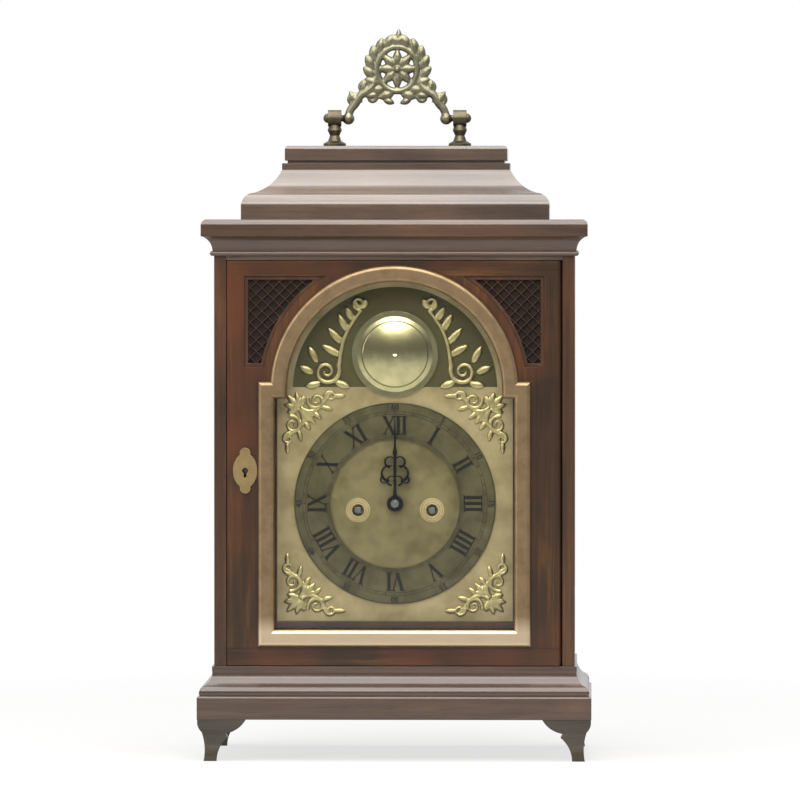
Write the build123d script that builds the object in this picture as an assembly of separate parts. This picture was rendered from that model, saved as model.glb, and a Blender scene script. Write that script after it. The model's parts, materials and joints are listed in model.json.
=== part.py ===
from build123d import *
from math import acos, asin, cos, degrees, hypot, pi, radians, sin, sqrt
import os

# Bracket clock: mahogany case with an inverted bell top and a carrying handle, break-arch brass
# dial, eight-day movement with two fusees, hour strike on a bell, anchor escapement and a short
# pendulum. Millimetres. X runs to the right, Y to the back and Z up. The origin is on the table
# under the middle of the base, and the dial faces -Y.

# Case
case_width = 267.0
base_depth = 192.5
base_projection = 12.5
foot_height = 31.0
plinth_height = 15.0
base_moulding_height = 39.0
base_frame_height = 27.0
side_thick = 9.0
opening_top = 371.0
case_top = 389.0
top_board_thick = 12.0
cornice_drop = 27.0
cornice_projection = 9.5
case_half = case_width / 2
case_inside = case_half - side_thick
case_back = base_depth / 2
base_front = -base_depth / 2
case_front = base_front + base_projection
side_bottom = foot_height + base_frame_height
floor_top = foot_height + base_moulding_height
roof = case_top + top_board_thick

# Inverted bell top and handle
bell_half = 114.5
bell_lip_height = 9.0
bell_round_height = 11.0
bell_round_inset = 9.5
bell_hollow_height = 17.0
bell_neck_height = 7.0
cap_half = 83.0
bell_neck_half = 85.0
cap_thick = 11.0
bell_depth_less = 43.5
bell_middle_y = case_front + 19.0 + bell_half - bell_depth_less
bell_wall = 24.0
post_spacing = 94.0
knuckle_radius = 6.2
knuckle_width = 10.0
handle_pivot_rise = 21.0
handle_rise = 68.0
trunnion_radius = 2.5

# Doors
door_gap = 0.5
door_thick = 17.0
rear_door_thick = 16.0
pivot_inset = 4.0
hinge_leaf_thick = 2.0
hinge_leaf_width = 7.0
hinge_leaf_length = 34.0
hinge_pin_radius = 1.6
hinge_pin_length = 4.5
stile_width = 35.3
sight_bottom = 97.0
sight_shoulder = 268.5
arch_step = 8.9
arch_middle_z = 275.0
sight_moulding_width = 12.5
sight_moulding_height = 4.5
glass_thick = 2.0
glass_rebate = 5.0
glass_set_back = 9.5
slip_thick = 3.0
fret_thick = 2.5
fret_set_back = 1.2
silk_thick = 0.8
fret_arch_gap = 5.7
fret_side_gap = 13.0
fret_bottom = 292.0
fret_top = 359.0
lock_middle_z = 215.0
lock_height = 40.0
lock_width = 24.0
lock_thick = 9.0
bolt_height = 8.0
bolt_thick = 4.0
bolt_throw = 6.0
rear_stile = 34.0
window_front = -42.0
window_back = 56.0
window_bottom = 122.0
window_spring = 290.0

# Dial
surround_thick = 4.0
surround_lap = 1.5
dial_over_sight = 0.3
dial_bottom = 101.0
dial_arch_over_sight = 2.2
dial_thick = 2.0
chapter_margin = 14.0
chapter_width = 27.0
chapter_thick = 1.6
spandrel_thick = 1.5
boss_radius = 32.0
boss_rise = 6.0
boss_z = 301.0
winding_offset = 27.5
winding_z = 185.0
winding_hole_radius = 4.5
hand_thick = 1.0
hour_hand_length = 44.0
minute_hand_length = 66.0

# Movement frame
centre_z = 190.0
plate_thick = 3.0
plate_half = 74.0
plate_top = 285.0
dial_standoff = 13.85
plate_spacing = 63.0
seat_top = 105.0
seat_thick = 10.0
pillar_radius = 3.5
run_clearance = 0.05
pivot_radius = 1.2
wheel_thick = 1.8

# Running gaps and small sizes that several pieces share
slide_gap = 0.3
swing_gap = 0.9

door_half = case_inside - door_gap
sight_half = door_half - stile_width
arch_radius = sight_half - arch_step
fret_circle = arch_radius + sight_moulding_width + fret_arch_gap
fret_side = door_half - fret_side_gap
dial_width = 2 * (sight_half + dial_over_sight)
dial_arch_radius = arch_radius + dial_arch_over_sight
chapter_outer = dial_width / 2 - chapter_margin
chapter_inner = chapter_outer - chapter_width
door_bottom = floor_top + door_gap
door_top = opening_top - door_gap
door_back = case_front + door_thick
rear_front = case_back - rear_door_thick
surround_front = door_back + swing_gap
dial_front = surround_front + surround_thick
dial_back = dial_front + dial_thick
front_plate_y = dial_back + dial_standoff
back_plate_y = front_plate_y + plate_spacing
glass_front = case_front + glass_set_back
cap_top = roof + bell_lip_height + bell_round_height + bell_hollow_height + bell_neck_height + cap_thick
handle_z = cap_top + handle_pivot_rise
post_x = post_spacing / 2

parts = {}


def block(x0, x1, y0, y1, z0, z1):
    """A box from its lowest to its highest corner."""
    middle = Pos((x0 + x1) / 2, (y0 + y1) / 2, (z0 + z1) / 2)
    return middle * Box(x1 - x0, y1 - y0, z1 - z0)


def facing_front(sketch, y0, y1):
    """Extrude a shape drawn in X and Z from y0, nearer the dial, to y1."""
    back_plane = Plane(origin=(0, y1, 0), x_dir=(1, 0, 0), z_dir=(0, -1, 0))
    return extrude(back_plane * sketch, y1 - y0, dir=(0, -1, 0))


def facing_side(sketch, x0, x1):
    """Extrude a shape drawn in Y and Z from x0 to x1."""
    plane = Plane(origin=(x0, 0, 0), x_dir=(0, 1, 0), z_dir=(1, 0, 0))
    return extrude(plane * sketch, x1 - x0, dir=(1, 0, 0))


def prism(sketch, z0, z1):
    """Extrude a shape drawn in X and Y from z0 up to z1."""
    return extrude(Pos(0, 0, z0) * sketch, z1 - z0, dir=(0, 0, 1))


def rod_y(radius, y0, y1, x, z):
    return Pos(x, (y0 + y1) / 2, z) * Rot(90, 0, 0) * Cylinder(radius, y1 - y0)


def rod_x(radius, x0, x1, y, z):
    return Pos((x0 + x1) / 2, y, z) * Rot(0, 90, 0) * Cylinder(radius, x1 - x0)


def rod_z(radius, z0, z1, x, y):
    return Pos(x, y, (z0 + z1) / 2) * Cylinder(radius, z1 - z0)


def both_sides(shape):
    return [shape, shape.mirror(Plane.YZ)]


def turned(points, x, y):
    """Turn an outline of (radius, height) points about a vertical line at x, y."""
    outline = make_face(Polyline(*[(r, 0, z) for r, z in points], close=True))
    return Pos(x, y, 0) * revolve(outline, Axis.Z)


def turned_y(points, x, z):
    """Turn an outline of (radius, y) points about a line along Y at x, z."""
    outline = make_face(Polyline(*[(r, y, 0) for r, y in points], close=True))
    return Pos(x, 0, z) * revolve(outline, Axis.Y)


# Case carcase: a frame on four bracket feet, a floor, two sides, rails and a top board


def moulding_runs(profile, reach):
    """Front, left and right runs of a moulding, mitred at the front corners.

    The profile is drawn as distance out from the case and height.
    """
    out = make_face(profile)
    y_plane = Plane(origin=(0, case_front, 0), x_dir=(0, -1, 0), z_dir=(-1, 0, 0))
    x_plane = Plane(origin=(case_half, 0, 0), x_dir=(1, 0, 0), z_dir=(0, -1, 0))
    length = 2 * (case_half + reach)
    front = Pos(length / 2, 0, 0) * extrude(y_plane * out, length, dir=(-1, 0, 0))
    side = Pos(0, case_back, 0) * extrude(x_plane * out, case_back - case_front + reach, dir=(0, -1, 0))
    front_cut = Polygon((-case_half - reach, case_front - reach), (case_half + reach, case_front - reach),
                        (case_half, case_front), (-case_half, case_front), align=None)
    side_cut = Polygon((case_half + reach, case_front - reach), (case_half + reach, case_back),
                       (case_half, case_back), (case_half, case_front), align=None)
    front = front & prism(front_cut, 0, roof)
    side = side & prism(side_cut, 0, roof)
    return [front] + both_sides(side)


def base_moulding():
    top = floor_top
    plinth_top = foot_height + plinth_height
    p = base_projection
    bead = 2.2
    ogee_low = (p - bead, plinth_top + bead)
    mid = (p * 0.52, plinth_top + 10.0)
    line = [Line((0, foot_height), (p, foot_height)),
            Line((p, foot_height), (p, plinth_top)),
            ThreePointArc((p, plinth_top), (p - 0.2 * bead, plinth_top + 0.75 * bead), ogee_low),
            ThreePointArc(ogee_low, (p * 0.82, plinth_top + 7.2), mid),
            ThreePointArc(mid, (p * 0.2, plinth_top + 14.5), (1.6, top - 3.0)),
            Line((1.6, top - 3.0), (1.6, top)),
            Line((1.6, top), (0, top)),
            Line((0, top), (0, foot_height))]
    return moulding_runs(Wire(line), base_projection)


def cornice():
    low = roof - cornice_drop
    p = cornice_projection
    line = [Line((0, low), (1.2, low)),
            ThreePointArc((1.2, low), (3.0, low + 1.8), (1.2, low + 3.6)),
            ThreePointArc((1.2, low + 3.6), (3.2, low + 10.2), (p - 1.0, low + 14.4)),
            Line((p - 1.0, low + 14.4), (p, low + 14.4)),
            Line((p, low + 14.4), (p, roof - 4.5)),
            ThreePointArc((p, roof - 4.5), (p - 0.9, roof - 1.6), (p - 3.5, roof)),
            Line((p - 3.5, roof), (0, roof)),
            Line((0, roof), (0, low))]
    return moulding_runs(Wire(line), cornice_projection)


def bracket_foot():
    """Front right foot: an ogee face on both outer sides, with a scrolled bracket behind it."""
    thick, reach = 15.0, 36.0
    out = base_projection - 0.3
    face = [Line((out - thick, foot_height), (out, foot_height)),
            ThreePointArc((out, foot_height), (out - 0.3, foot_height - 4.5), (out - 3.2, foot_height - 9.5)),
            ThreePointArc((out - 3.2, foot_height - 9.5), (out - 5.2, 12.0), (out - 4.6, 0)),
            Line((out - 4.6, 0), (out - thick, 0)),
            Line((out - thick, 0), (out - thick, foot_height))]
    section = make_face(Wire(face))
    corner_x, corner_y = case_half + out, case_front - out
    y_plane = Plane(origin=(0, case_front, 0), x_dir=(0, -1, 0), z_dir=(-1, 0, 0))
    x_plane = Plane(origin=(case_half, 0, 0), x_dir=(1, 0, 0), z_dir=(0, -1, 0))
    along_x = Pos(corner_x, 0, 0) * extrude(y_plane * section, reach, dir=(-1, 0, 0))
    along_y = Pos(0, corner_y + reach, 0) * extrude(x_plane * section, reach, dir=(0, -1, 0))
    tip = 14.0
    scroll = [Line((0, 0), (tip, 0)),
              ThreePointArc((tip, 0), (tip + 2.4, 10.0), (tip + 8.5, 17.5)),
              Line((tip + 8.5, 17.5), (tip + 7.0, 20.5)),
              ThreePointArc((tip + 7.0, 20.5), (tip + 14.0, 23.0), (reach, foot_height)),
              Line((reach, foot_height), (0, foot_height)),
              Line((0, foot_height), (0, 0))]
    bracket = make_face(Wire(scroll))
    front_plane = Plane(origin=(corner_x, corner_y, 0), x_dir=(-1, 0, 0), z_dir=(0, 1, 0))
    side_plane = Plane(origin=(corner_x, corner_y, 0), x_dir=(0, 1, 0), z_dir=(1, 0, 0))
    front_bracket = extrude(front_plane * bracket, reach, dir=(0, 1, 0))
    side_bracket = extrude(side_plane * bracket, reach, dir=(-1, 0, 0))
    mitre_front = prism(Polygon((corner_x, corner_y), (corner_x - reach, corner_y),
                                (corner_x - reach, corner_y + reach), align=None), 0, foot_height)
    mitre_side = prism(Polygon((corner_x, corner_y), (corner_x, corner_y + reach),
                               (corner_x - reach, corner_y + reach), align=None), 0, foot_height)
    return (along_x & front_bracket & mitre_front) + (along_y & side_bracket & mitre_side)


def bracket_feet():
    front = bracket_foot()
    back = front.mirror(Plane.XZ)
    return both_sides(front) + both_sides(back)


def base_frame():
    rail = 24.0
    outer = block(-case_half, case_half, case_front, case_back, foot_height, side_bottom)
    return outer - block(-case_half + rail, case_half - rail, case_front + rail, case_back - rail,
                         foot_height, side_bottom)


def window_sketch(grow):
    """Side window with a round top, drawn in Y and Z."""
    half = (window_back - window_front) / 2 + grow
    middle = (window_back + window_front) / 2
    bottom = window_bottom - grow
    flat = Pos(middle, (bottom + window_spring) / 2) * Rectangle(2 * half, window_spring - bottom)
    return flat + Pos(middle, window_spring) * Circle(half)


bead_thick = 2.5
bead_width = 5.0


def case_side():
    """Right side, with a rebated window and, for the left side, the lock's mortise cut later."""
    side = block(case_inside, case_half, case_front, case_back, side_bottom, case_top)
    side -= facing_side(window_sketch(0), case_inside, case_half)
    return side - facing_side(window_sketch(bead_width), case_half - bead_thick, case_half)


def lock_mortise(y):
    gap = slide_gap
    return block(-case_inside - bolt_throw - 1.0, -case_inside, y - gap, y + bolt_thick + gap,
                 lock_middle_z - bolt_height / 2 - gap, lock_middle_z + bolt_height / 2 + gap)


def side_bead():
    ring = window_sketch(bead_width) - window_sketch(-1.0)
    return facing_side(ring, case_half - bead_thick, case_half)


def side_glass():
    x1 = case_half - bead_thick
    return facing_side(window_sketch(0), x1 - glass_thick, x1)


def top_rails():
    front = block(-case_inside, case_inside, case_front, door_back, opening_top, case_top)
    back = block(-case_inside, case_inside, rear_front, case_back, opening_top, case_top)
    return [front, back]


def stepped(profile_half):
    """A bell-top section: the same outline seen from the front and, shallower, from the side."""
    front = facing_front(make_face(Wire(profile_half(0))), -case_half * 2, case_half * 2)
    side_face = make_face(Wire(profile_half(bell_depth_less)))
    plane = Plane(origin=(-case_half * 2, bell_middle_y, 0), x_dir=(0, 1, 0), z_dir=(1, 0, 0))
    return front & extrude(plane * side_face, case_half * 4, dir=(1, 0, 0))


def mirrored_outline(edges, bottom, top, less):
    """Close a right-hand outline of edges with its mirror image and flat ends."""
    right = [Pos(-less, 0) * edge for edge in edges]
    left = [edge.mirror(Plane.YZ) for edge in right]
    x0 = (right[0] @ 0).X
    x1 = (right[-1] @ 1).X
    return right + left + [Line((x0, bottom), (-x0, bottom)), Line((x1, top), (-x1, top))]


def bell_lower():
    lip_top = roof + bell_lip_height
    top = lip_top + bell_round_height
    round_in = bell_half - bell_round_inset

    def outline(less):
        edges = [Line((bell_half, roof), (bell_half, lip_top)),
                 ThreePointArc((bell_half, lip_top),
                               (bell_half - bell_round_inset * 0.25, lip_top + bell_round_height * 0.68),
                               (round_in, top))]
        return mirrored_outline(edges, roof, top, less)

    hollow = bell_half - bell_wall
    depth = hollow - bell_depth_less
    return stepped(outline) - block(-hollow, hollow, bell_middle_y - depth, bell_middle_y + depth, roof, top)


def bell_upper():
    bottom = roof + bell_lip_height + bell_round_height
    hollow_top = bottom + bell_hollow_height
    top = hollow_top + bell_neck_height
    wide = bell_half - bell_round_inset

    def outline(less):
        middle = (bell_neck_half + (wide - bell_neck_half) * 0.33, bottom + bell_hollow_height * 0.45)
        edges = [ThreePointArc((wide, bottom), middle, (bell_neck_half, hollow_top)),
                 Line((bell_neck_half, hollow_top), (bell_neck_half, top - 2.0)),
                 Line((bell_neck_half, top - 2.0), (cap_half - 2.0, top - 2.0)),
                 Line((cap_half - 2.0, top - 2.0), (cap_half - 2.0, top))]
        return mirrored_outline(edges, bottom, top, less)

    hollow = bell_neck_half - bell_wall / 2
    depth = hollow - bell_depth_less
    return stepped(outline) - block(-hollow, hollow, bell_middle_y - depth, bell_middle_y + depth, bottom, top)


def bell_cap():
    bottom = cap_top - cap_thick

    def outline(less):
        ease = 2.5
        edges = [Line((cap_half, bottom), (cap_half, cap_top - ease)),
                 ThreePointArc((cap_half, cap_top - ease), (cap_half - 0.3 * ease, cap_top - 0.3 * ease),
                               (cap_half - ease, cap_top))]
        return mirrored_outline(edges, bottom, cap_top, less)

    return stepped(outline)


# Carrying handle and its two posts


def handle_posts():
    low = cap_top
    outline = [(0, low), (8.5, low), (8.5, low + 2.0), (5.0, low + 4.0), (3.6, low + 8.0),
               (5.4, low + 12.0), (4.2, handle_z - knuckle_radius + 1.0), (0, handle_z)]
    post = turned(outline, post_x, bell_middle_y)
    knuckle = rod_x(knuckle_radius, post_x - knuckle_width / 2, post_x + knuckle_width / 2, bell_middle_y, handle_z)
    cap = Pos(post_x + knuckle_width / 2, bell_middle_y, handle_z) * Sphere(3.6)
    bore = rod_x(trunnion_radius + run_clearance, 0, post_x + knuckle_width / 2 - 1.5, bell_middle_y, handle_z)
    return both_sides(post + knuckle + cap - bore)


def handle():
    """Cast bail: trunnions, two scrolled arms, and an oval leaf wreath at the middle."""
    y = bell_middle_y
    inner_x = post_x - knuckle_width / 2 - slide_gap
    ball_x = inner_x - 5.0
    pin = rod_x(trunnion_radius, ball_x, post_x + knuckle_width / 2 - 2.0, y, handle_z)
    ball = Pos(ball_x, y, handle_z) * Sphere(5.0)
    start = (ball_x, y, handle_z)
    shoulder = (ball_x - 7.0, y, handle_z + 13.0)
    waist = (ball_x - 20.0, y, handle_z + 22.0)
    arm_path = Wire([ThreePointArc(start, (ball_x - 5.5, y, handle_z + 5.5), shoulder),
                     ThreePointArc(shoulder, (ball_x - 11.0, y, handle_z + 19.5), waist)])
    arm = sweep(Plane(origin=arm_path @ 0, z_dir=arm_path % 0) * Circle(3.2), arm_path)
    curl = Pos(ball_x - 4.0, y, handle_z + 15.5) * Sphere(3.6)
    side = pin + ball + arm + curl
    wreath_half, wreath_low, wreath_high = 22.0, handle_z + 12.0, handle_z + handle_rise - 6.0
    wreath_z = (wreath_low + wreath_high) / 2
    wreath_tall = (wreath_high - wreath_low) / 2
    oval = Pos(0, wreath_z) * (Ellipse(wreath_half, wreath_tall) - Ellipse(wreath_half - 9.0, wreath_tall - 9.0))
    wreath = facing_front(oval, y - 3.6, y + 3.6)
    boss = Pos(0, y, wreath_z) * scale(Sphere(1.0), (10.0, 5.0, 11.5))
    stalk = facing_front(Pos(0, wreath_z) * Rectangle(5.0, 2 * wreath_tall - 4.0), y - 2.0, y + 2.0)
    leaf_top = handle_z + handle_rise
    leaf = facing_front(Polygon((-5.0, wreath_high - 3.0), (5.0, wreath_high - 3.0), (4.0, leaf_top - 3.0),
                                (1.0, leaf_top), (-3.0, leaf_top - 3.5), align=None), y - 2.4, y + 2.4)
    right, left = both_sides(side)
    return right + left + wreath + boss + stalk + leaf


# Doors: a pivot-hung glazed front door and a plainer glazed rear door


def arch_sketch(grow, half=None, bottom=None, shoulder=None, radius=None):
    """Break-arch outline in X and Z, grown outwards on every side."""
    half = (half or sight_half) + grow
    bottom = (bottom or sight_bottom) - grow
    shoulder = (shoulder or sight_shoulder) + grow
    radius = (radius or arch_radius) + grow
    square = Pos(0, (bottom + shoulder) / 2) * Rectangle(2 * half, shoulder - bottom)
    low = bottom + 2 * radius
    arch = Pos(0, arch_middle_z) * Circle(radius)
    upright = Pos(0, (low + arch_middle_z) / 2) * Rectangle(2 * radius, arch_middle_z - low)
    return square + arch + upright


def fret_sketch(inset):
    """Right-hand corner opening above the arch, drawn in X and Z."""
    x1, z0, z1 = fret_side - inset, fret_bottom + inset, fret_top - inset
    corner = Pos(x1 / 2, (z0 + z1) / 2) * Rectangle(x1, z1 - z0)
    return corner - Pos(0, arch_middle_z) * Circle(fret_circle + inset)


def door_plan(front, back, pivot_y):
    """Door seen from above, with its hinge corner rounded about the pivot."""
    pivot_x = door_half - pivot_inset
    middle_y = (front + back) / 2
    near = min((front, back), key=lambda y: abs(y - pivot_y))
    slab = Pos(0, middle_y) * Rectangle(2 * door_half, abs(back - front))
    corner = Pos(door_half - pivot_inset / 2, (near + pivot_y) / 2) * Rectangle(pivot_inset, pivot_inset)
    return slab - corner + Pos(pivot_x, pivot_y) * Circle(pivot_inset)


front_pivot = (door_half - pivot_inset, case_front + pivot_inset)
rear_pivot = (door_half - pivot_inset, case_back - pivot_inset)


def hinge_leaves(pivot, low, high, grow=0.0):
    """Two flat leaves, one at each end of a door, rounded about the pivot."""
    x, y = pivot
    half = hinge_leaf_width / 2
    shape = Pos(x - hinge_leaf_length / 2, y) * Rectangle(hinge_leaf_length, 2 * half) + Pos(x, y) * Circle(half)
    if grow:
        shape = offset(shape, grow)
    return [prism(shape, z0, z0 + hinge_leaf_thick) for z0 in (low, high)]


def door_hinges(pivot):
    """Leaves let into the ends of the door, each with the pin that it turns on."""
    x, y = pivot
    bottom, top = hinge_leaves(pivot, door_bottom, door_top - hinge_leaf_thick)
    bottom += rod_z(hinge_pin_radius, door_bottom - hinge_pin_length, door_bottom, x, y)
    top += rod_z(hinge_pin_radius, door_top, door_top + hinge_pin_length, x, y)
    return [bottom, top]


def case_hinge_plates(pivot):
    """Plates let into the floor and the rail, bored for the pins."""
    x, y = pivot
    plates = hinge_leaves(pivot, floor_top - hinge_leaf_thick, opening_top)
    return [plate - rod_z(hinge_pin_radius + run_clearance, floor_top - 9.0, opening_top + 9.0, x, y)
            for plate in plates]


def hinge_recess(pivot):
    """What the floor and the rail lose for the plates and pins."""
    x, y = pivot
    low, high = hinge_leaves(pivot, floor_top - hinge_leaf_thick, opening_top)
    hole = hinge_pin_radius + slide_gap
    return [low, high, rod_z(hole, floor_top - hinge_pin_length - 1.0, floor_top, x, y),
            rod_z(hole, opening_top, opening_top + hinge_pin_length + 1.0, x, y)]


def lock_body_box(y0):
    x0 = -door_half + 1.5
    return block(x0, x0 + lock_width, y0, y0 + lock_thick,
                 lock_middle_z - lock_height / 2, lock_middle_z + lock_height / 2)


def bolt_box(y0, grow=0.0, reach=0.0):
    """Bolt at rest, drawn back flush with the edge of the door."""
    y = y0 + (lock_thick - bolt_thick) / 2
    half = bolt_height / 2
    return block(-door_half + 0.2 - reach, -door_half + 17.0 + grow, y - grow, y + bolt_thick + grow,
                 lock_middle_z - half - grow, lock_middle_z + half + grow)


def keyhole(y0, y1):
    x = escutcheon_x
    slot = Pos(x, lock_middle_z - 2.6) * Rectangle(2.0, 5.2)
    return facing_front(Pos(x, lock_middle_z) * Circle(2.2) + slot, y0, y1)


escutcheon_x = -door_half + 13.5
front_lock_y = door_back - lock_thick
rear_lock_y = rear_front


def front_door():
    frame = Pos(0, (door_bottom + door_top) / 2) * Rectangle(2 * door_half, door_top - door_bottom)
    door = facing_front(frame, case_front, door_back)
    door &= prism(door_plan(case_front, door_back, front_pivot[1]), door_bottom, door_top)
    door -= facing_front(arch_sketch(0.6), case_front, glass_front)
    door -= facing_front(arch_sketch(glass_rebate), glass_front, door_back)
    for opening in both_sides(facing_front(fret_sketch(0), case_front, door_back)):
        door -= opening
    for leaf in hinge_leaves(front_pivot, door_bottom, door_top - hinge_leaf_thick):
        door -= leaf
    door -= lock_body_box(front_lock_y)
    door -= bolt_box(front_lock_y, slide_gap, 1.0)
    return door - keyhole(case_front, front_lock_y)


def sight_moulding():
    """Half-round brass moulding round the glass."""
    ring = arch_sketch(sight_moulding_width) - arch_sketch(0)
    bar = facing_front(ring, case_front - sight_moulding_height, case_front)
    rim = bar.edges().filter_by(lambda e: abs(e.center().Y - case_front + sight_moulding_height) < 0.01)
    return fillet(rim, sight_moulding_height - 1.2)


def glass_slips():
    ring = arch_sketch(glass_rebate) - arch_sketch(1.0)
    y0 = glass_front + glass_thick
    return facing_front(ring, y0, y0 + slip_thick)


def sound_fret():
    """Right-hand fret: a rim and a lattice of diamond openings."""
    pitch, opening = 8.6, 5.6
    hole_area = fret_sketch(2.6)
    holes = []
    for row in range(16):
        for column in range(14):
            x = fret_side - column * pitch - (row % 2) * pitch / 2
            z = fret_top - row * pitch / 2
            holes.append(Pos(x, z) * Rot(0, 0, 45) * Rectangle(opening, opening))
    pattern = Sketch() + holes
    return facing_front(fret_sketch(0) - (pattern & hole_area), case_front + fret_set_back,
                        case_front + fret_set_back + fret_thick)


def fret_silk():
    y0 = case_front + fret_set_back + fret_thick
    return facing_front(fret_sketch(0), y0, y0 + silk_thick)


def escutcheon():
    plate = Pos(escutcheon_x, lock_middle_z) * (Ellipse(9.0, 13.0) + Pos(0, 13.0) * Circle(4.0)
                                                + Pos(0, -13.0) * Circle(4.0))
    return facing_front(plate, case_front - 1.2, case_front) - keyhole(case_front - 1.2, case_front)


def lock_body(y0):
    return lock_body_box(y0) - bolt_box(y0, slide_gap, 5.0)


def front_lock():
    """Mortise lock case, with its keyhole through the front plate."""
    wall = (lock_thick - bolt_thick) / 2
    return lock_body(front_lock_y) - keyhole(front_lock_y, front_lock_y + wall)


def rear_door():
    frame = Pos(0, (door_bottom + door_top) / 2) * Rectangle(2 * door_half, door_top - door_bottom)
    door = facing_front(frame, rear_front, case_back)
    door &= prism(door_plan(rear_front, case_back, rear_pivot[1]), door_bottom, door_top)
    y = case_back - glass_set_back
    door -= facing_front(rear_sight(0), y, case_back)
    door -= facing_front(rear_sight(glass_rebate), rear_front, y)
    for leaf in hinge_leaves(rear_pivot, door_bottom, door_top - hinge_leaf_thick):
        door -= leaf
    door -= lock_body_box(rear_lock_y)
    door -= bolt_box(rear_lock_y, slide_gap, 1.0)
    return door - keyhole(rear_lock_y, case_back)


def rear_sight(grow):
    """Round-topped opening of the rear door."""
    half = door_half - rear_stile
    bottom = door_bottom + rear_stile
    spring = door_top - rear_stile - half
    flat = Pos(0, (bottom - grow + spring) / 2) * Rectangle(2 * (half + grow), spring - bottom + grow)
    return flat + Pos(0, spring) * Circle(half + grow)


def rear_glass():
    y1 = case_back - glass_set_back
    return facing_front(rear_sight(glass_rebate - slide_gap), y1 - glass_thick, y1)


def rear_slips():
    y1 = case_back - glass_set_back - glass_thick
    return facing_front(rear_sight(glass_rebate) - rear_sight(1.0), y1 - slip_thick, y1)


# Dial: surround, plate, chapter ring, cast spandrels and the domed boss in the arch


def surround():
    frame = Pos(0, (floor_top + opening_top) / 2) * Rectangle(2 * case_inside, opening_top - floor_top)
    hole = arch_sketch(0, dial_width / 2 - surround_lap, dial_bottom + surround_lap,
                       dial_bottom + dial_width - surround_lap, dial_arch_radius - surround_lap)
    return facing_front(frame - hole, surround_front, dial_front)


def dial_plate():
    outline = arch_sketch(0, dial_width / 2, dial_bottom, dial_bottom + dial_width, dial_arch_radius)
    plate = facing_front(outline, dial_front, dial_back)
    plate -= rod_y(6.0, dial_front, dial_back, 0, centre_z)
    for hole in both_sides(rod_y(winding_hole_radius, dial_front, dial_back, winding_offset, winding_z)):
        plate -= hole
    return plate


def chapter_ring():
    ring = Pos(0, centre_z) * (Circle(chapter_outer) - Circle(chapter_inner))
    return facing_front(ring, dial_front - chapter_thick, dial_front)


def corner_spandrel(up):
    """One cast corner mount: scrolls to each side of a leaf that points at the corner."""
    corner_x = dial_width / 2 - 6.0
    corner_z = centre_z + up * (dial_width / 2 - 6.0)
    lobes = Pos(corner_x - 9.0, corner_z - up * 9.0) * Circle(8.0)
    lobes += Pos(corner_x - 24.0, corner_z - up * 3.5) * Circle(3.4)
    lobes += Pos(corner_x - 3.5, corner_z - up * 24.0) * Circle(3.4)
    lobes += Pos(corner_x - 17.0, corner_z - up * 6.0) * Circle(4.8)
    lobes += Pos(corner_x - 6.0, corner_z - up * 17.0) * Circle(4.8)
    keep = lobes - Pos(0, centre_z) * Circle(chapter_outer + 1.0)
    return facing_front(keep, dial_front - spandrel_thick, dial_front)


def arch_spandrel():
    """Cast scroll between the boss and the edge of the arch."""
    out = dial_arch_radius
    lobes = Pos(out - 31.0, boss_z - 11.0) * Ellipse(12.0, 10.0) + Pos(out - 37.0, boss_z + 4.0) * Circle(9.0)
    lobes += Pos(out - 43.0, boss_z + 16.0) * Circle(6.0) + Pos(out - 19.0, boss_z - 16.0) * Circle(5.5)
    keep = lobes - Pos(0, boss_z) * Circle(boss_radius + 1.0)
    return facing_front(keep, dial_front - spandrel_thick, dial_front)


def spandrels():
    return both_sides(corner_spandrel(1)) + both_sides(corner_spandrel(-1)) + both_sides(arch_spandrel())


def arch_boss():
    rim, lip = boss_radius, 1.8
    dome_radius = boss_radius - 4.0
    rise = boss_rise - lip
    ball = (dome_radius ** 2 + rise ** 2) / (2 * rise)
    half_way = (dome_radius / 2, boss_rise - ball + sqrt(ball ** 2 - dome_radius ** 2 / 4))
    line = [Line((0, 0), (rim, 0)), Line((rim, 0), (rim, lip)), Line((rim, lip), (dome_radius, lip)),
            ThreePointArc((dome_radius, lip), half_way, (0, boss_rise)),
            Line((0, boss_rise), (0, 0))]
    dome = revolve(make_face(Wire(line)), Axis.Y)
    return Pos(0, dial_front, boss_z) * Rot(180, 0, 0) * dome


def hand_from(sketch, y0, hub, bore):
    whole = Pos(0, centre_z) * (sketch + Circle(hub) - Circle(bore))
    return facing_front(whole, y0, y0 + hand_thick)


hour_pipe_radius = 3.6
cannon_radius = 2.3
arbor_radius = 1.5
hour_hand_y = dial_front - chapter_thick - 1.0 - hand_thick
minute_hand_y = hour_hand_y - 1.0 - hand_thick


def hour_hand():
    length = hour_hand_length
    loop = length * 0.66
    shape = Pos(0, loop) * (Circle(7.0) - Circle(3.0))
    shape += Polygon((-1.6, 0), (1.6, 0), (1.2, loop - 5.0), (-1.2, loop - 5.0), align=None)
    shape += Polygon((-3.0, loop + 5.5), (3.0, loop + 5.5), (0, length), align=None)
    return hand_from(shape, hour_hand_y, 6.0, hour_pipe_radius)


def minute_hand():
    length = minute_hand_length
    loop = length * 0.3
    shape = Pos(0, loop) * (Circle(4.2) - Circle(1.8))
    shape += Polygon((-1.3, 0), (1.3, 0), (1.0, loop - 3.0), (-1.0, loop - 3.0), align=None)
    shape += Polygon((-1.5, loop + 3.0), (1.5, loop + 3.0), (0.4, length), (-0.4, length), align=None)
    return hand_from(shape, minute_hand_y, 5.0, cannon_radius)


# Wheels and pinions. Their faces are all flat: each tooth is a trapezoid, thinned to run free


def ring_points(radius, count, start=0.0):
    return [(radius * cos(start + 2 * pi * i / count), radius * sin(start + 2 * pi * i / count))
            for i in range(count)]


def flat_circle(radius, count=12):
    """A many-sided hole whose flats stand at the radius."""
    return Polygon(*ring_points(radius / cos(pi / count), count), align=None)


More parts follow.
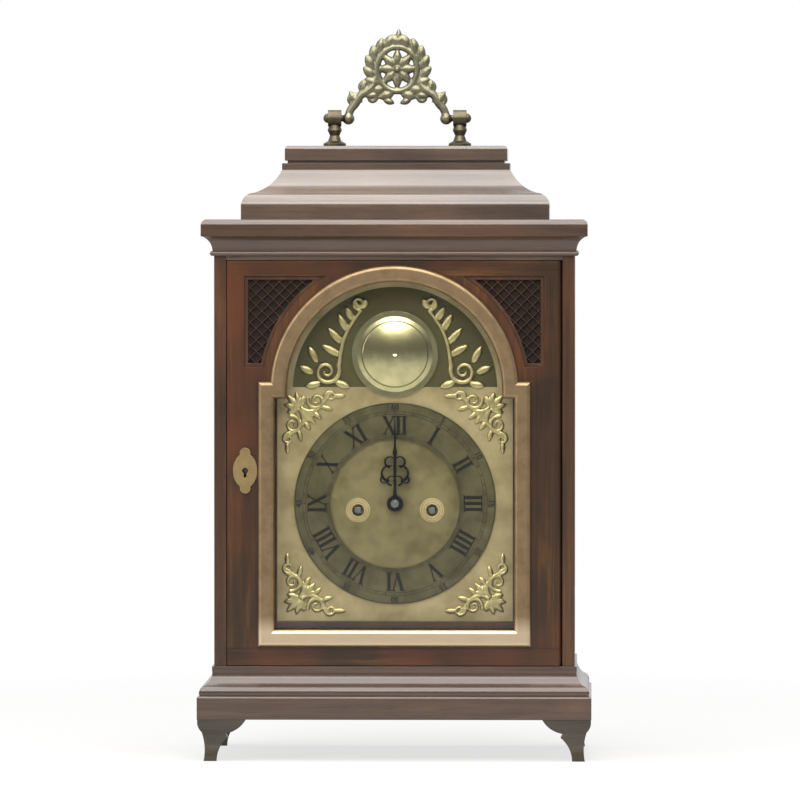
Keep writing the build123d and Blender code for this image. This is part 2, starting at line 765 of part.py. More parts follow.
def toothed(teeth, module, toward, wheel):
    """Outline of a wheel or pinion, with a tooth (wheel) or a gap (pinion) toward its mate."""
    top, root = (0.8, 1.0) if wheel else (0.5, 0.95)
    tip_share, root_share = (0.18, 0.62) if wheel else (0.16, 0.44)
    step = 2 * pi / teeth
    first = toward if wheel else toward + step / 2
    pitch_radius = teeth * module / 2
    outer, inner = pitch_radius + top * module, pitch_radius - root * module
    points = []
    for i in range(teeth):
        at = first + i * step
        for radius, share in ((inner, -root_share), (outer, -tip_share), (outer, tip_share), (inner, root_share)):
            turn = at + share * step / 2
            points.append((radius * cos(turn), radius * sin(turn)))
    return Polygon(*points, align=None)


def crossings(outer, inner, spokes, half_width=1.3):
    """Openings between the spokes of a wheel."""
    holes = []
    for i in range(spokes):
        a0 = 2 * pi * i / spokes + asin(half_width / outer)
        a1 = 2 * pi * (i + 1) / spokes - asin(half_width / outer)
        b0 = 2 * pi * i / spokes + asin(half_width / inner)
        b1 = 2 * pi * (i + 1) / spokes - asin(half_width / inner)
        turns = [a0 + (a1 - a0) * k / 3 for k in range(4)]
        points = [(outer * cos(t), outer * sin(t)) for t in turns]
        points += [(inner * cos(t), inner * sin(t)) for t in (b1, b0)]
        holes.append(Polygon(*points, align=None))
    return holes


def wheel(teeth, module, at, toward, y, bore, spokes=4, thick=wheel_thick):
    root = teeth * module / 2 - module
    shape = toothed(teeth, module, toward, True) - flat_circle(bore)
    if spokes:
        for hole in crossings(root - 2.0, bore + 2.6, spokes):
            shape -= hole
    return facing_front(Pos(*at) * shape, y, y + thick)


def pinion(leaves, module, at, toward, y0, y1, bore):
    shape = toothed(leaves, module, toward, False) - flat_circle(bore)
    return facing_front(Pos(*at) * shape, y0, y1)


def beside(at, bearing, distance):
    """A centre at a distance and a bearing, in degrees, from another centre."""
    turn = radians(bearing)
    return (at[0] + distance * cos(turn), at[1] + distance * sin(turn))


# Going train: great wheel, centre, third and escape wheels. Positions are (x, z)
centre_at = (0.0, centre_z)
going_fusee_at = (winding_offset, winding_z)
strike_fusee_at = (-winding_offset, winding_z)
great_teeth, centre_leaves = 64, 8
centre_teeth, third_leaves = 72, 6
third_teeth, escape_leaves = 60, 6
escape_teeth = 40
escape_radius = 13.0
great_distance = hypot(winding_offset, centre_z - winding_z)
great_module = 2 * great_distance / (great_teeth + centre_leaves)
centre_module, third_module = 0.5, 0.5
third_bearing, escape_bearing = 62.0, 122.0
great_bearing = degrees(acos((centre_at[0] - going_fusee_at[0]) / great_distance))
third_at = beside(centre_at, third_bearing, centre_module * (centre_teeth + third_leaves) / 2)
escape_at = beside(third_at, escape_bearing, third_module * (third_teeth + escape_leaves) / 2)
pallet_span = 49.5
pallet_at = (escape_at[0], escape_at[1] + escape_radius / cos(radians(pallet_span)))
great_y = front_plate_y + 6.5
centre_y, third_y, escape_y = back_plate_y - 9.0, back_plate_y - 16.5, back_plate_y - 24.0
strike_great_y = front_plate_y + plate_thick + 0.4

# Motion work between the front plate and the dial
cannon_teeth, minute_teeth = 20, 40
hour_leaves, hour_teeth = 8, 48
motion_distance = 21.6
cannon_module = 2 * motion_distance / (cannon_teeth + minute_teeth)
hour_module = 2 * motion_distance / (hour_leaves + hour_teeth)
minute_bearing = -90.0
minute_at = beside(centre_at, minute_bearing, motion_distance)
cannon_y, hour_y = front_plate_y - 3.4, front_plate_y - 6.4

# Striking train: great wheel, pin wheel, gathering wheel, warning wheel and fly
strike_great_teeth, pin_leaves = 54, 6
pin_teeth, gathering_leaves = 42, 6
gathering_teeth, warning_leaves = 36, 6
warning_teeth, fly_leaves = 30, 6
strike_great_module, pin_module, gathering_module, warning_module = 0.93, 0.72, 0.66, 0.66
pin_bearing, gathering_bearing, warning_bearing, fly_bearing = 99.0, 72.0, 130.0, 40.0
pin_at = beside(strike_fusee_at, pin_bearing, strike_great_module * (strike_great_teeth + pin_leaves) / 2)
gathering_at = beside(pin_at, gathering_bearing, pin_module * (pin_teeth + gathering_leaves) / 2)
warning_at = beside(gathering_at, warning_bearing, gathering_module * (gathering_teeth + warning_leaves) / 2)
fly_at = beside(warning_at, fly_bearing, warning_module * (warning_teeth + fly_leaves) / 2)
pin_y, gathering_y, warning_y = back_plate_y - 16.5, back_plate_y - 29.0, back_plate_y - 37.0
lifting_pins, pin_circle, lifting_pin_radius = 8, 11.0, 0.9
fly_radius = 8.0

# Barrels, hammer and bell
barrel_at = (50.0, 150.0)
barrel_radius = 20.0
barrel_arbor_radius = 3.0
fusee_large, fusee_small = 15.0, 8.0
fusee_arbor_radius = 2.5
fusee_length = 32.5
fusee_front = great_y + 3.0
fusee_back = fusee_front + fusee_length
line_radius = 0.7
hammer_at = (-60.0, 226.0)
hammer_lift = 10.0
chime_radius = 40.0
chime_height = 26.0
chime_wall = 2.0
chime_rim_z = plate_top + 11.0
chime_set_back = 33.0
chime_y = front_plate_y + chime_set_back
hammer_gap = 1.0


def pivots_at():
    """Every arbor that runs in both plates, with the radius of its pivots."""
    small = [centre_at, third_at, escape_at, pallet_at, pin_at, gathering_at, warning_at, fly_at, hammer_at]
    large = [(going_fusee_at, fusee_arbor_radius), (strike_fusee_at, fusee_arbor_radius)]
    large += [(barrel_at, barrel_arbor_radius), ((-barrel_at[0], barrel_at[1]), barrel_arbor_radius)]
    return [(at, arbor_radius if at is centre_at else pivot_radius) for at in small] + large


pillar_side, pillar_low, pillar_high = plate_half - 10.0, seat_top + 12.0, plate_top - 9.0
pillar_places = [(pillar_side, pillar_low), (42.0, pillar_high), (-pillar_side, pillar_low),
                 (-42.0, pillar_high), (0.0, pillar_low)]
foot_side, foot_low, foot_high = plate_half - 8.0, seat_top + 23.0, plate_top - 23.0
dial_foot_places = [(x, z) for x in (foot_side, -foot_side) for z in (foot_low, foot_high)]
screw_head_thick = 1.6


def movement_plate(y0):
    plate = block(-plate_half, plate_half, y0, y0 + plate_thick, seat_top, plate_top)
    for at, radius in pivots_at():
        plate -= rod_y(radius + run_clearance, y0, y0 + plate_thick, *at)
    return plate


def pillars():
    """Turned pillars, riveted to the back plate, with latched front ends."""
    y0, y1 = front_plate_y + plate_thick, back_plate_y
    middle = (y0 + y1) / 2
    r = pillar_radius
    outline = [(0, y0), (r + 1.2, y0), (r + 1.2, y0 + 2.5), (r - 0.6, y0 + 5.0), (r, middle - 4.0),
               (r + 1.6, middle), (r, middle + 4.0), (r - 0.6, y1 - 5.0), (r + 1.2, y1 - 2.5), (r + 1.2, y1), (0, y1)]
    return [turned_y(outline, x, z) for x, z in pillar_places]


def dial_feet():
    return [rod_y(3.0, dial_back, front_plate_y, x, z) for x, z in dial_foot_places]


def plate_screws():
    """Screws that hold the pillars at the back plate."""
    y = back_plate_y + plate_thick
    return [facing_front(Pos(x, z) * flat_circle(3.4, 8), y, y + screw_head_thick) for x, z in pillar_places]


plate_outer_front = front_plate_y
plate_outer_back = back_plate_y + plate_thick


def centre_arbor():
    """Arbor with the centre pinion; its front end carries the hands."""
    bearing = radians(great_bearing) + pi
    leaves = pinion(centre_leaves, great_module, centre_at, bearing, great_y - 0.4, great_y + 3.6, arbor_radius)
    body = rod_y(arbor_radius, minute_hand_y - 3.0, plate_outer_back, *centre_at)
    collet = rod_y(3.0, minute_hand_y - 1.4, minute_hand_y - slide_gap / 2, *centre_at) - \
        rod_y(arbor_radius, minute_hand_y - 1.4, minute_hand_y, *centre_at)
    return [body, leaves, collet]


def centre_wheel():
    return wheel(centre_teeth, centre_module, centre_at, radians(third_bearing), centre_y, arbor_radius)


def cannon():
    """Cannon wheel and the pipe that carries the minute hand."""
    toward = radians(minute_bearing)
    gear = wheel(cannon_teeth, cannon_module, centre_at, toward, cannon_y, cannon_radius, 0)
    pipe = rod_y(cannon_radius, minute_hand_y, cannon_y + wheel_thick, *centre_at)
    return [gear, pipe - rod_y(arbor_radius, minute_hand_y, cannon_y + wheel_thick, *centre_at)]


def minute_wheel():
    """Minute wheel with the pinion that drives the hour wheel."""
    back = radians(minute_bearing) + pi
    stud = 1.5 + run_clearance
    gear = wheel(minute_teeth, cannon_module, minute_at, back + pi / minute_teeth, cannon_y, stud, 0)
    leaves = pinion(hour_leaves, hour_module, minute_at, back, hour_y - 0.6, cannon_y, stud)
    return [gear, leaves]


def motion_stud():
    """Stud in the front plate for the minute wheel."""
    return rod_y(1.5, hour_y - 1.4, front_plate_y, *minute_at)


def hour_wheel():
    """Hour wheel on its pipe, which runs on the cannon pipe and carries the hour hand."""
    toward = radians(minute_bearing)
    gear = wheel(hour_teeth, hour_module, centre_at, toward, hour_y, hour_pipe_radius)
    y1 = hour_y + wheel_thick + 0.6
    pipe = rod_y(hour_pipe_radius, hour_hand_y, y1, *centre_at)
    return [gear, pipe - rod_y(cannon_radius + run_clearance, hour_hand_y, y1, *centre_at)]


def great_wheel(teeth, module, at, toward, y):
    """Great wheel, free on its fusee's arbor so that the fusee can be wound."""
    return wheel(teeth, module, at, toward, y, fusee_arbor_radius + run_clearance, 4, 2.4)


def fusee(at):
    """Hollow-sided cone on an arbor with a square for the key."""
    y0, y1 = fusee_front, fusee_back
    outline = [Line((0, y0), (fusee_large + 1.5, y0)), Line((fusee_large + 1.5, y0), (fusee_large + 1.5, y0 + 1.5)),
               Line((fusee_large + 1.5, y0 + 1.5), (fusee_large, y0 + 1.5)),
               ThreePointArc((fusee_large, y0 + 1.5), (fusee_small + 2.0, (y0 + y1) / 2 + 1.0), (fusee_small, y1)),
               Line((fusee_small, y1), (0, y1)), Line((0, y1), (0, y0))]
    cone = Pos(at[0], 0, at[1]) * revolve(make_face(Wire(outline)), Axis.Y)
    square_back = dial_back + 2.0
    body = rod_y(fusee_arbor_radius, square_back, plate_outer_back, *at)
    side = fusee_arbor_radius * 1.6
    square = facing_front(Pos(*at) * Rectangle(side, side), dial_front - 1.0, square_back)
    return cone + body + square


def barrel(at):
    """Spring barrel with end caps, free on its fixed arbor."""
    y0, y1 = fusee_front, fusee_back
    r = barrel_radius
    hole = barrel_arbor_radius + run_clearance
    outline = [(hole, y0), (r + 1.5, y0), (r + 1.5, y0 + 2.0), (r, y0 + 2.0), (r, y1 - 2.0), (r + 1.5, y1 - 2.0),
               (r + 1.5, y1), (hole, y1)]
    return turned_y(outline, *at)


def barrel_arbors():
    """Fixed arbors with set-up squares and ratchets in front of the plate."""
    out = []
    for x in (barrel_at[0], -barrel_at[0]):
        at = (x, barrel_at[1])
        rod = rod_y(barrel_arbor_radius, front_plate_y - 3.0, plate_outer_back, *at)
        ratchet = facing_front(Pos(*at) * flat_circle(7.0, 16), front_plate_y - 2.0, front_plate_y)
        out.append(rod + ratchet)
    return out


def gut_line():
    """Straight run of the line from the going barrel to its fusee."""
    gap = slide_gap + line_radius
    fusee_middle = (fusee_large + fusee_small) / 2
    dx, dz = going_fusee_at[0] - barrel_at[0], going_fusee_at[1] - barrel_at[1]
    span = hypot(dx, dz)
    lean = asin((barrel_radius - fusee_middle) / span)
    ux, uz = dx / span, dz / span
    nx, nz = uz * cos(lean) + ux * sin(lean), -ux * cos(lean) + uz * sin(lean)
    start = (barrel_at[0] + nx * (barrel_radius + gap), barrel_at[1] + nz * (barrel_radius + gap))
    end = (going_fusee_at[0] + nx * (fusee_middle + gap), going_fusee_at[1] + nz * (fusee_middle + gap))
    y = (fusee_front + fusee_back) / 2
    path = Line((start[0], y, start[1]), (end[0], y, end[1]))
    return sweep(Plane(origin=path @ 0, z_dir=path % 0) * Circle(line_radius), path)


def third_wheel():
    back = radians(third_bearing) + pi
    leaves = pinion(third_leaves, centre_module, third_at, back, centre_y - 1.2, centre_y + 3.0, 0.9)
    gear = wheel(third_teeth, third_module, third_at, radians(escape_bearing), third_y, 1.0)
    return [slim_arbor(third_at), leaves, gear]


def slim_arbor(at):
    """Arbor of the quick end of a train, thin enough for a six-leaf pinion."""
    return rod_y(0.8, plate_outer_front, plate_outer_back, *at)


def escape_wheel():
    back = radians(escape_bearing) + pi
    leaves = pinion(escape_leaves, third_module, escape_at, back, third_y - 1.2, third_y + 3.0, 0.9)
    step = 2 * pi / escape_teeth
    points = []
    for i in range(escape_teeth):
        for radius, part in ((escape_radius - 2.6, 0.0), (escape_radius, 0.30), (escape_radius - 2.6, 0.55)):
            turn = (i + part) * step
            points.append((radius * cos(turn), radius * sin(turn)))
    shape = Polygon(*points, align=None) - flat_circle(1.0)
    for hole in crossings(escape_radius - 4.4, 3.4, 4):
        shape -= hole
    gear = facing_front(Pos(*escape_at) * shape, escape_y, escape_y + wheel_thick)
    return [slim_arbor(escape_at), leaves, gear]


pallet_clearance = 1.4
crutch_y = plate_outer_back + 3.0
pendulum_y = plate_outer_back + 14.0
rod_radius = 1.4
fork_gap = 0.3


def pallets():
    """Anchor over the escape wheel, its arbor, and the crutch that pushes the pendulum."""
    ex, ez = escape_at
    px, pz = pallet_at
    shape = Pos(px, pz) * flat_circle(3.4, 8)
    for side in (1, -1):
        nib = []
        for radius, turn in ((escape_radius + pallet_clearance, 5), (escape_radius + pallet_clearance, -4),
                             (escape_radius + 7.0, -3), (escape_radius + 7.0, 4)):
            angle = radians(90 - side * (pallet_span + turn))
            nib.append((ex + radius * cos(angle), ez + radius * sin(angle)))
        shape += Polygon(*nib, align=None)
        elbow = [(px, pz + 3.2), (px, pz - 3.2), nib[3], nib[2]]
        shape += Polygon(*elbow, align=None)
    anchor = facing_front(shape, escape_y - 0.4, escape_y + wheel_thick + 0.4)
    shaft = rod_y(pivot_radius, plate_outer_front, crutch_y + 2.0, px, pz)
    return anchor + shaft


crutch_drop = 44.0


def crutch():
    px, pz = pallet_at
    low = pz - crutch_drop
    strip = block(px - 1.8, px + 1.8, crutch_y, crutch_y + 2.0, low, pz + 3.0)
    strip -= rod_y(pivot_radius, crutch_y, crutch_y + 2.0, px, pz)
    inner = rod_radius + fork_gap
    fork = block(px + inner, px + inner + 1.4, crutch_y, pendulum_y + 3.0, low, low + 3.0)
    other = block(px - inner - 1.4, px - inner, crutch_y, pendulum_y + 3.0, low, low + 3.0)
    return strip + fork + other


beats_per_hour = 2 * escape_teeth * (centre_teeth / third_leaves) * (third_teeth / escape_leaves)
swing_period = 2 * 3600.0 / beats_per_hour
pendulum_length = 9810.0 * (swing_period / (2 * pi)) ** 2
bob_z = pallet_at[1] - pendulum_length
bob_radius = 17.0
bob_thick = 9.0


def pendulum_rod():
    """Rod with its top hook and the rating thread and nut under the bob."""
    px, pz = pallet_at
    rod = rod_z(rod_radius, bob_z - bob_radius - 6.0, pz - 6.0, px, pendulum_y)
    nut = rod_z(3.6, bob_z - bob_radius - 4.0, bob_z - bob_radius - 1.0, px, pendulum_y)
    return rod + nut


def pendulum_bob():
    """Lens-shaped brass bob, bored for the rod."""
    half = bob_thick / 2
    line = [ThreePointArc((0, -half), (bob_radius * 0.6, -half * 0.72), (bob_radius, -0.6)),
            Line((bob_radius, -0.6), (bob_radius, 0.6)),
            ThreePointArc((bob_radius, 0.6), (bob_radius * 0.6, half * 0.72), (0, half)),
            Line((0, half), (0, -half))]
    lens = Pos(pallet_at[0], pendulum_y, bob_z) * revolve(make_face(Wire(line)), Axis.Y)
    return lens - rod_z(rod_radius, bob_z - bob_radius, bob_z + bob_radius, pallet_at[0], pendulum_y)


spring_half_thick = 0.15
slot_half = 0.75


def suspension_spring():
    px, pz = pallet_at
    leaf = block(px - spring_half_thick, px + spring_half_thick, pendulum_y - 2.5, pendulum_y + 2.5,
                 pz - 6.0, pz + 6.0)
    head = rod_y(1.6, pendulum_y - 3.5, pendulum_y + 3.5, px, pz + 7.0)
    return leaf + head


def back_cock():
    """Bracket on the back plate; its slotted nose carries the suspension spring."""
    px, pz = pallet_at
    y = plate_outer_back
    foot = block(px - 16.0, px + 16.0, y, y + 2.5, pz + 3.5, pz + 14.0)
    nose = block(px - 5.0, px + 5.0, y, pendulum_y + 3.0, pz + 0.5, pz + 5.0)
    nose -= block(px - slot_half, px + slot_half, pendulum_y - 3.0, pendulum_y + 3.0, pz + 0.5, pz + 5.0)
    nose -= block(px - 3.2, px + 3.2, y, crutch_y + 3.0, pz, pz + 4.0)
    return foot + nose


def pin_wheel():
    """Pin wheel: its pins lift the hammer tail."""
    back = radians(pin_bearing) + pi
    leaves = pinion(pin_leaves, strike_great_module, pin_at, back, strike_great_y, strike_great_y + 3.6, 1.3)
    gear = wheel(pin_teeth, pin_module, pin_at, radians(gathering_bearing), pin_y, 1.3)
    y = pin_y + wheel_thick
    pins = [facing_front(Pos(pin_at[0] + x, pin_at[1] + z) * flat_circle(lifting_pin_radius, 6), y, y + 3.0)
            for x, z in ring_points(pin_circle, lifting_pins)]
    return [rod_y(pivot_radius, plate_outer_front, plate_outer_back, *pin_at), leaves, gear] + pins


def strike_arbor(at, back_bearing, leaves, module, leaf_y, teeth, wheel_module, toward, y):
    """One of the quicker strike arbors, with its pinion and its wheel."""
    back = radians(back_bearing) + pi
    small = pinion(leaves, module, at, back, leaf_y - 1.2, leaf_y + 3.0, 0.95)
    gear = wheel(teeth, wheel_module, at, radians(toward), y, 1.0)
    return [slim_arbor(at), small, gear]


def gathering_wheel():
    return strike_arbor(gathering_at, gathering_bearing, gathering_leaves, pin_module, pin_y, gathering_teeth,
                        gathering_module, warning_bearing, gathering_y)


def warning_wheel():
    return strike_arbor(warning_at, warning_bearing, warning_leaves, gathering_module, gathering_y,
                        warning_teeth, warning_module, fly_bearing, warning_y)


def fly():
    """Air brake: two vanes on the last arbor."""
    back = radians(fly_bearing) + pi
    leaves = pinion(fly_leaves, warning_module, fly_at, back, warning_y - 1.2, warning_y + 3.0, 0.95)
    x, z = fly_at
    y0, y1 = back_plate_y - 25.0, back_plate_y - 7.0
    vanes = block(x - fly_radius, x + fly_radius, y0, y1, z - 0.4, z + 0.4)
    hub = rod_y(1.8, y0, y1, x, z)
    return [slim_arbor(fly_at), leaves, vanes + hub - slim_arbor(fly_at)]


head_radius = 4.5


def hammer():
    """Bell hammer: arbor, long arm, head beside the bell's rim, and the tail by the pin wheel."""
    ax, az = hammer_at
    tilt_x = -chime_radius - hammer_gap - 5.0
    head_z = chime_rim_z + 6.0
    arm = facing_front(Polygon((ax - 1.6, az), (ax + 1.6, az), (tilt_x + 1.0, head_z), (tilt_x - 1.4, head_z),
                               align=None), chime_y - 1.0, chime_y + 1.0)
    head = rod_x(head_radius, tilt_x - 5.0, -chime_radius - hammer_gap, chime_y, head_z)
    shaft = rod_y(pivot_radius, plate_outer_front, plate_outer_back, ax, az)
    boss = rod_y(3.0, chime_y - 3.0, chime_y + 3.0, ax, az)
    dx, dz = pin_at[0] - ax, pin_at[1] - az
    span = hypot(dx, dz)
    reach = span - pin_circle - lifting_pin_radius - 0.7
    ux, uz = dx / span, dz / span
    y = pin_y + wheel_thick
    tail = facing_front(Polygon((ax - uz * 1.4, az + ux * 1.4), (ax + uz * 1.4, az - ux * 1.4),
                                (ax + ux * reach + uz * 0.8, az + uz * reach - ux * 0.8),
                                (ax + ux * reach - uz * 0.8, az + uz * reach + ux * 0.8), align=None),
                        y + 0.4, y + 2.6)
    return arm + head + shaft + boss + tail


def chime_bell():
    """Cup bell, open downwards, bored at the crown."""
    r, wall, top = chime_radius, chime_wall, chime_rim_z + chime_height
    low = chime_rim_z
    line = [Line((r - wall, low), (r, low)),
            ThreePointArc((r, low), (r * 0.80, low + chime_height * 0.66), (r * 0.42, top)),
            Line((r * 0.42, top), (stand_radius, top)), Line((stand_radius, top), (stand_radius, top - wall)),
            Line((stand_radius, top - wall), (r * 0.42 - wall * 0.3, top - wall)),
            ThreePointArc((r * 0.42 - wall * 0.3, top - wall), (r * 0.80 - wall, low + chime_height * 0.6),
                          (r - wall, low))]
    ring = Plane.XZ * make_face(Wire(line))
    return Pos(0, chime_y, 0) * revolve(ring, Axis.Z)


stand_radius = 2.4


def bell_stand():
    """Standard on the inside of the back plate, with the post and nut that hold the bell."""
    top = chime_rim_z + chime_height
    foot = block(-5.0, 5.0, back_plate_y - 2.5, back_plate_y, plate_top - 23.0, plate_top + 5.0)
    arm = block(-4.0, 4.0, chime_y - 4.0, back_plate_y, plate_top + 2.0, plate_top + 5.0)
    post = rod_z(stand_radius, plate_top + 5.0, top + 4.0, 0, chime_y)
    collar = rod_z(4.5, top - chime_wall - 2.0, top - chime_wall, 0, chime_y)
    nut = rod_z(4.5, top, top + 3.0, 0, chime_y)
    return foot + arm + post + collar + nut


def seat_board():
    return block(-case_inside, case_inside, dial_back + 3.0, plate_outer_back + 2.0, seat_top - seat_thick, seat_top)


def seat_cleats():
    low = floor_top
    cleat = block(case_inside - 14.0, case_inside, dial_back + 6.0, plate_outer_back, low, seat_top - seat_thick)
    return both_sides(cleat)


def add(name, shape):
    """Keep one node: a solid, or a list of separate solids."""
    if isinstance(shape, list):
        parts[name] = Compound(children=[piece for item in shape for piece in item.solids()])
    else:
        parts[name] = shape


floor = block(-case_inside, case_inside, case_front, case_back, side_bottom, floor_top)
rails = top_rails()
for door_pivot in (front_pivot, rear_pivot):
    for cut in hinge_recess(door_pivot):
        floor -= cut
        rails = [rail - cut for rail in rails]

right_side = case_side()
left_side = right_side.mirror(Plane.YZ)
for bolt_y in (front_lock_y, rear_lock_y):
    left_side -= lock_mortise(bolt_y + (lock_thick - bolt_thick) / 2)

add("bracket_feet", bracket_feet())
add("base_frame", [base_frame(), floor])
add("base_moulding", base_moulding())
add("case_sides", [left_side, right_side])
add("side_window_beads", both_sides(side_bead()))
add("side_glass", both_sides(side_glass()))
add("top_frame", rails + [block(-case_half, case_half, case_front, case_back, case_top, roof)])
add("cornice_moulding", cornice())
add("bell_top_mouldings", [bell_lower(), bell_upper()])
add("bell_top_cap", bell_cap())
add("handle_posts", handle_posts())
add("handle", handle())
add("case_hinge_plates", case_hinge_plates(front_pivot) + case_hinge_plates(rear_pivot))
add("front_door", front_door())
add("front_door_hinges", door_hinges(front_pivot))
add("sight_moulding", sight_moulding())
add("front_glass", facing_front(arch_sketch(glass_rebate - slide_gap), glass_front, glass_front + glass_thick))
add("glass_slips", glass_slips())
add("sound_frets", both_sides(sound_fret()))
add("fret_silk", both_sides(fret_silk()))
add("escutcheon", escutcheon())
add("front_lock", front_lock())
add("front_lock_bolt", bolt_box(front_lock_y))
add("rear_door", [rear_door(), rear_slips()])
add("rear_door_hinges", door_hinges(rear_pivot))
add("rear_glass", rear_glass())
add("rear_lock", lock_body(rear_lock_y))
add("rear_lock_bolt", bolt_box(rear_lock_y))
add("dial_surround", surround())
add("dial_plate", dial_plate())
add("chapter_ring", chapter_ring())
add("dial_spandrels", spandrels())
add("arch_boss", arch_boss())
add("hour_hand", hour_hand())
add("minute_hand", minute_hand())
add("seat_board", [seat_board()] + seat_cleats())
add("movement_plates", [movement_plate(front_plate_y), movement_plate(back_plate_y)])
add("movement_pillars", pillars() + plate_screws() + dial_feet() + [motion_stud()])
add("centre_arbor", centre_arbor() + [centre_wheel()] + cannon())
add("minute_wheel", minute_wheel())
add("hour_wheel", hour_wheel())
add("going_great_wheel", great_wheel(great_teeth, great_module, going_fusee_at, radians(great_bearing),
                                     great_y))
add("going_fusee", fusee(going_fusee_at))
add("going_barrel", barrel(barrel_at))
add("third_wheel", third_wheel())
add("escape_wheel", escape_wheel())
add("pallets", [pallets(), crutch()])
add("pendulum", [pendulum_rod(), pendulum_bob(), suspension_spring()])
add("back_cock", back_cock())
add("strike_great_wheel", great_wheel(strike_great_teeth, strike_great_module, strike_fusee_at,
                                      radians(pin_bearing), strike_great_y))
add("strike_fusee", fusee(strike_fusee_at))
add("strike_barrel", barrel((-barrel_at[0], barrel_at[1])))
add("barrel_arbors", barrel_arbors() + both_sides(gut_line()))
add("pin_wheel", pin_wheel())
add("gathering_wheel", gathering_wheel())
add("warning_wheel", warning_wheel())
add("fly", fly())
add("hammer", hammer())
add("chime_bell", chime_bell())
add("bell_stand", bell_stand())

os.makedirs("parts", exist_ok=True)
for name, shape in parts.items():
    export_step(shape, os.path.join("parts", name + ".step"))
print(len(parts), "nodes")
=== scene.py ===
import json
from math import atan2, cos, degrees, pi, radians, sin
import bmesh
import bpy
from mathutils import Matrix, Vector


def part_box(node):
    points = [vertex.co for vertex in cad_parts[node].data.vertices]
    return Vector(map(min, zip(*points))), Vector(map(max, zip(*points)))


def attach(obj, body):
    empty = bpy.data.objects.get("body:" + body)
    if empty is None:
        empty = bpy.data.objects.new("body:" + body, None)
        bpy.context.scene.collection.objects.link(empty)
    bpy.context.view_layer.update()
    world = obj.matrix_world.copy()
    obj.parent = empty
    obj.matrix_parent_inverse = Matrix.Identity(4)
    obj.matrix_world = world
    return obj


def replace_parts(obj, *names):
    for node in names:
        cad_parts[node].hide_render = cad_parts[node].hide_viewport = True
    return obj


# Mahogany bracket clock with an inverted bell top, a brass carrying handle and a break-arch dial.
# Metres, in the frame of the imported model: X right, Y back, Z up, the dial facing -Y.
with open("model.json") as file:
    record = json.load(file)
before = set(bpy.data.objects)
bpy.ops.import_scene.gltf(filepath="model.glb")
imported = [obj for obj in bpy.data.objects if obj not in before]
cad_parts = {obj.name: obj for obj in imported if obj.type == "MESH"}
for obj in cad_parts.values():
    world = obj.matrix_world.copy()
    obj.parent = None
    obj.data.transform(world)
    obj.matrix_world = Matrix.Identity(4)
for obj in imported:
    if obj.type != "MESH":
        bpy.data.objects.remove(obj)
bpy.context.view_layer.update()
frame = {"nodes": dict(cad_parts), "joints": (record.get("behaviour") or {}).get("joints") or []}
mm = 0.001
bpy.context.scene.view_settings.view_transform = "Standard"


# The case is a box of mahogany boards, glued, pinned and French polished. The grain runs along
# each board, with a slow figure in it, short open pores, and polish that has toned in patches.
class Value:
    """A number or colour that changes over a surface. Arithmetic on it adds Math nodes."""

    def __init__(self, finish, socket):
        self.finish = finish
        self.socket = socket

    def join(self, operation, first, second=None):
        values = {0: first} if second is None else {0: first, 1: second}
        return self.finish.node("ShaderNodeMath", {"operation": operation}, values)

    def __add__(self, other):
        return self.join("ADD", self, other)

    def __radd__(self, other):
        return self.join("ADD", other, self)

    def __sub__(self, other):
        return self.join("SUBTRACT", self, other)

    def __rsub__(self, other):
        return self.join("SUBTRACT", other, self)

    def __mul__(self, other):
        return self.join("MULTIPLY", self, other)

    def __rmul__(self, other):
        return self.join("MULTIPLY", other, self)

    def __pow__(self, other):
        return self.join("POWER", self, other)

    def __abs__(self):
        return self.join("ABSOLUTE", self)

    def wave(self):
        return self.join("SINE", self)

    def above(self, level):
        return self.join("GREATER_THAN", self, level)

    def below(self, level):
        return self.join("LESS_THAN", self, level)

    def least(self, other):
        return self.join("MINIMUM", self, other)

    def most(self, other):
        return self.join("MAXIMUM", self, other)


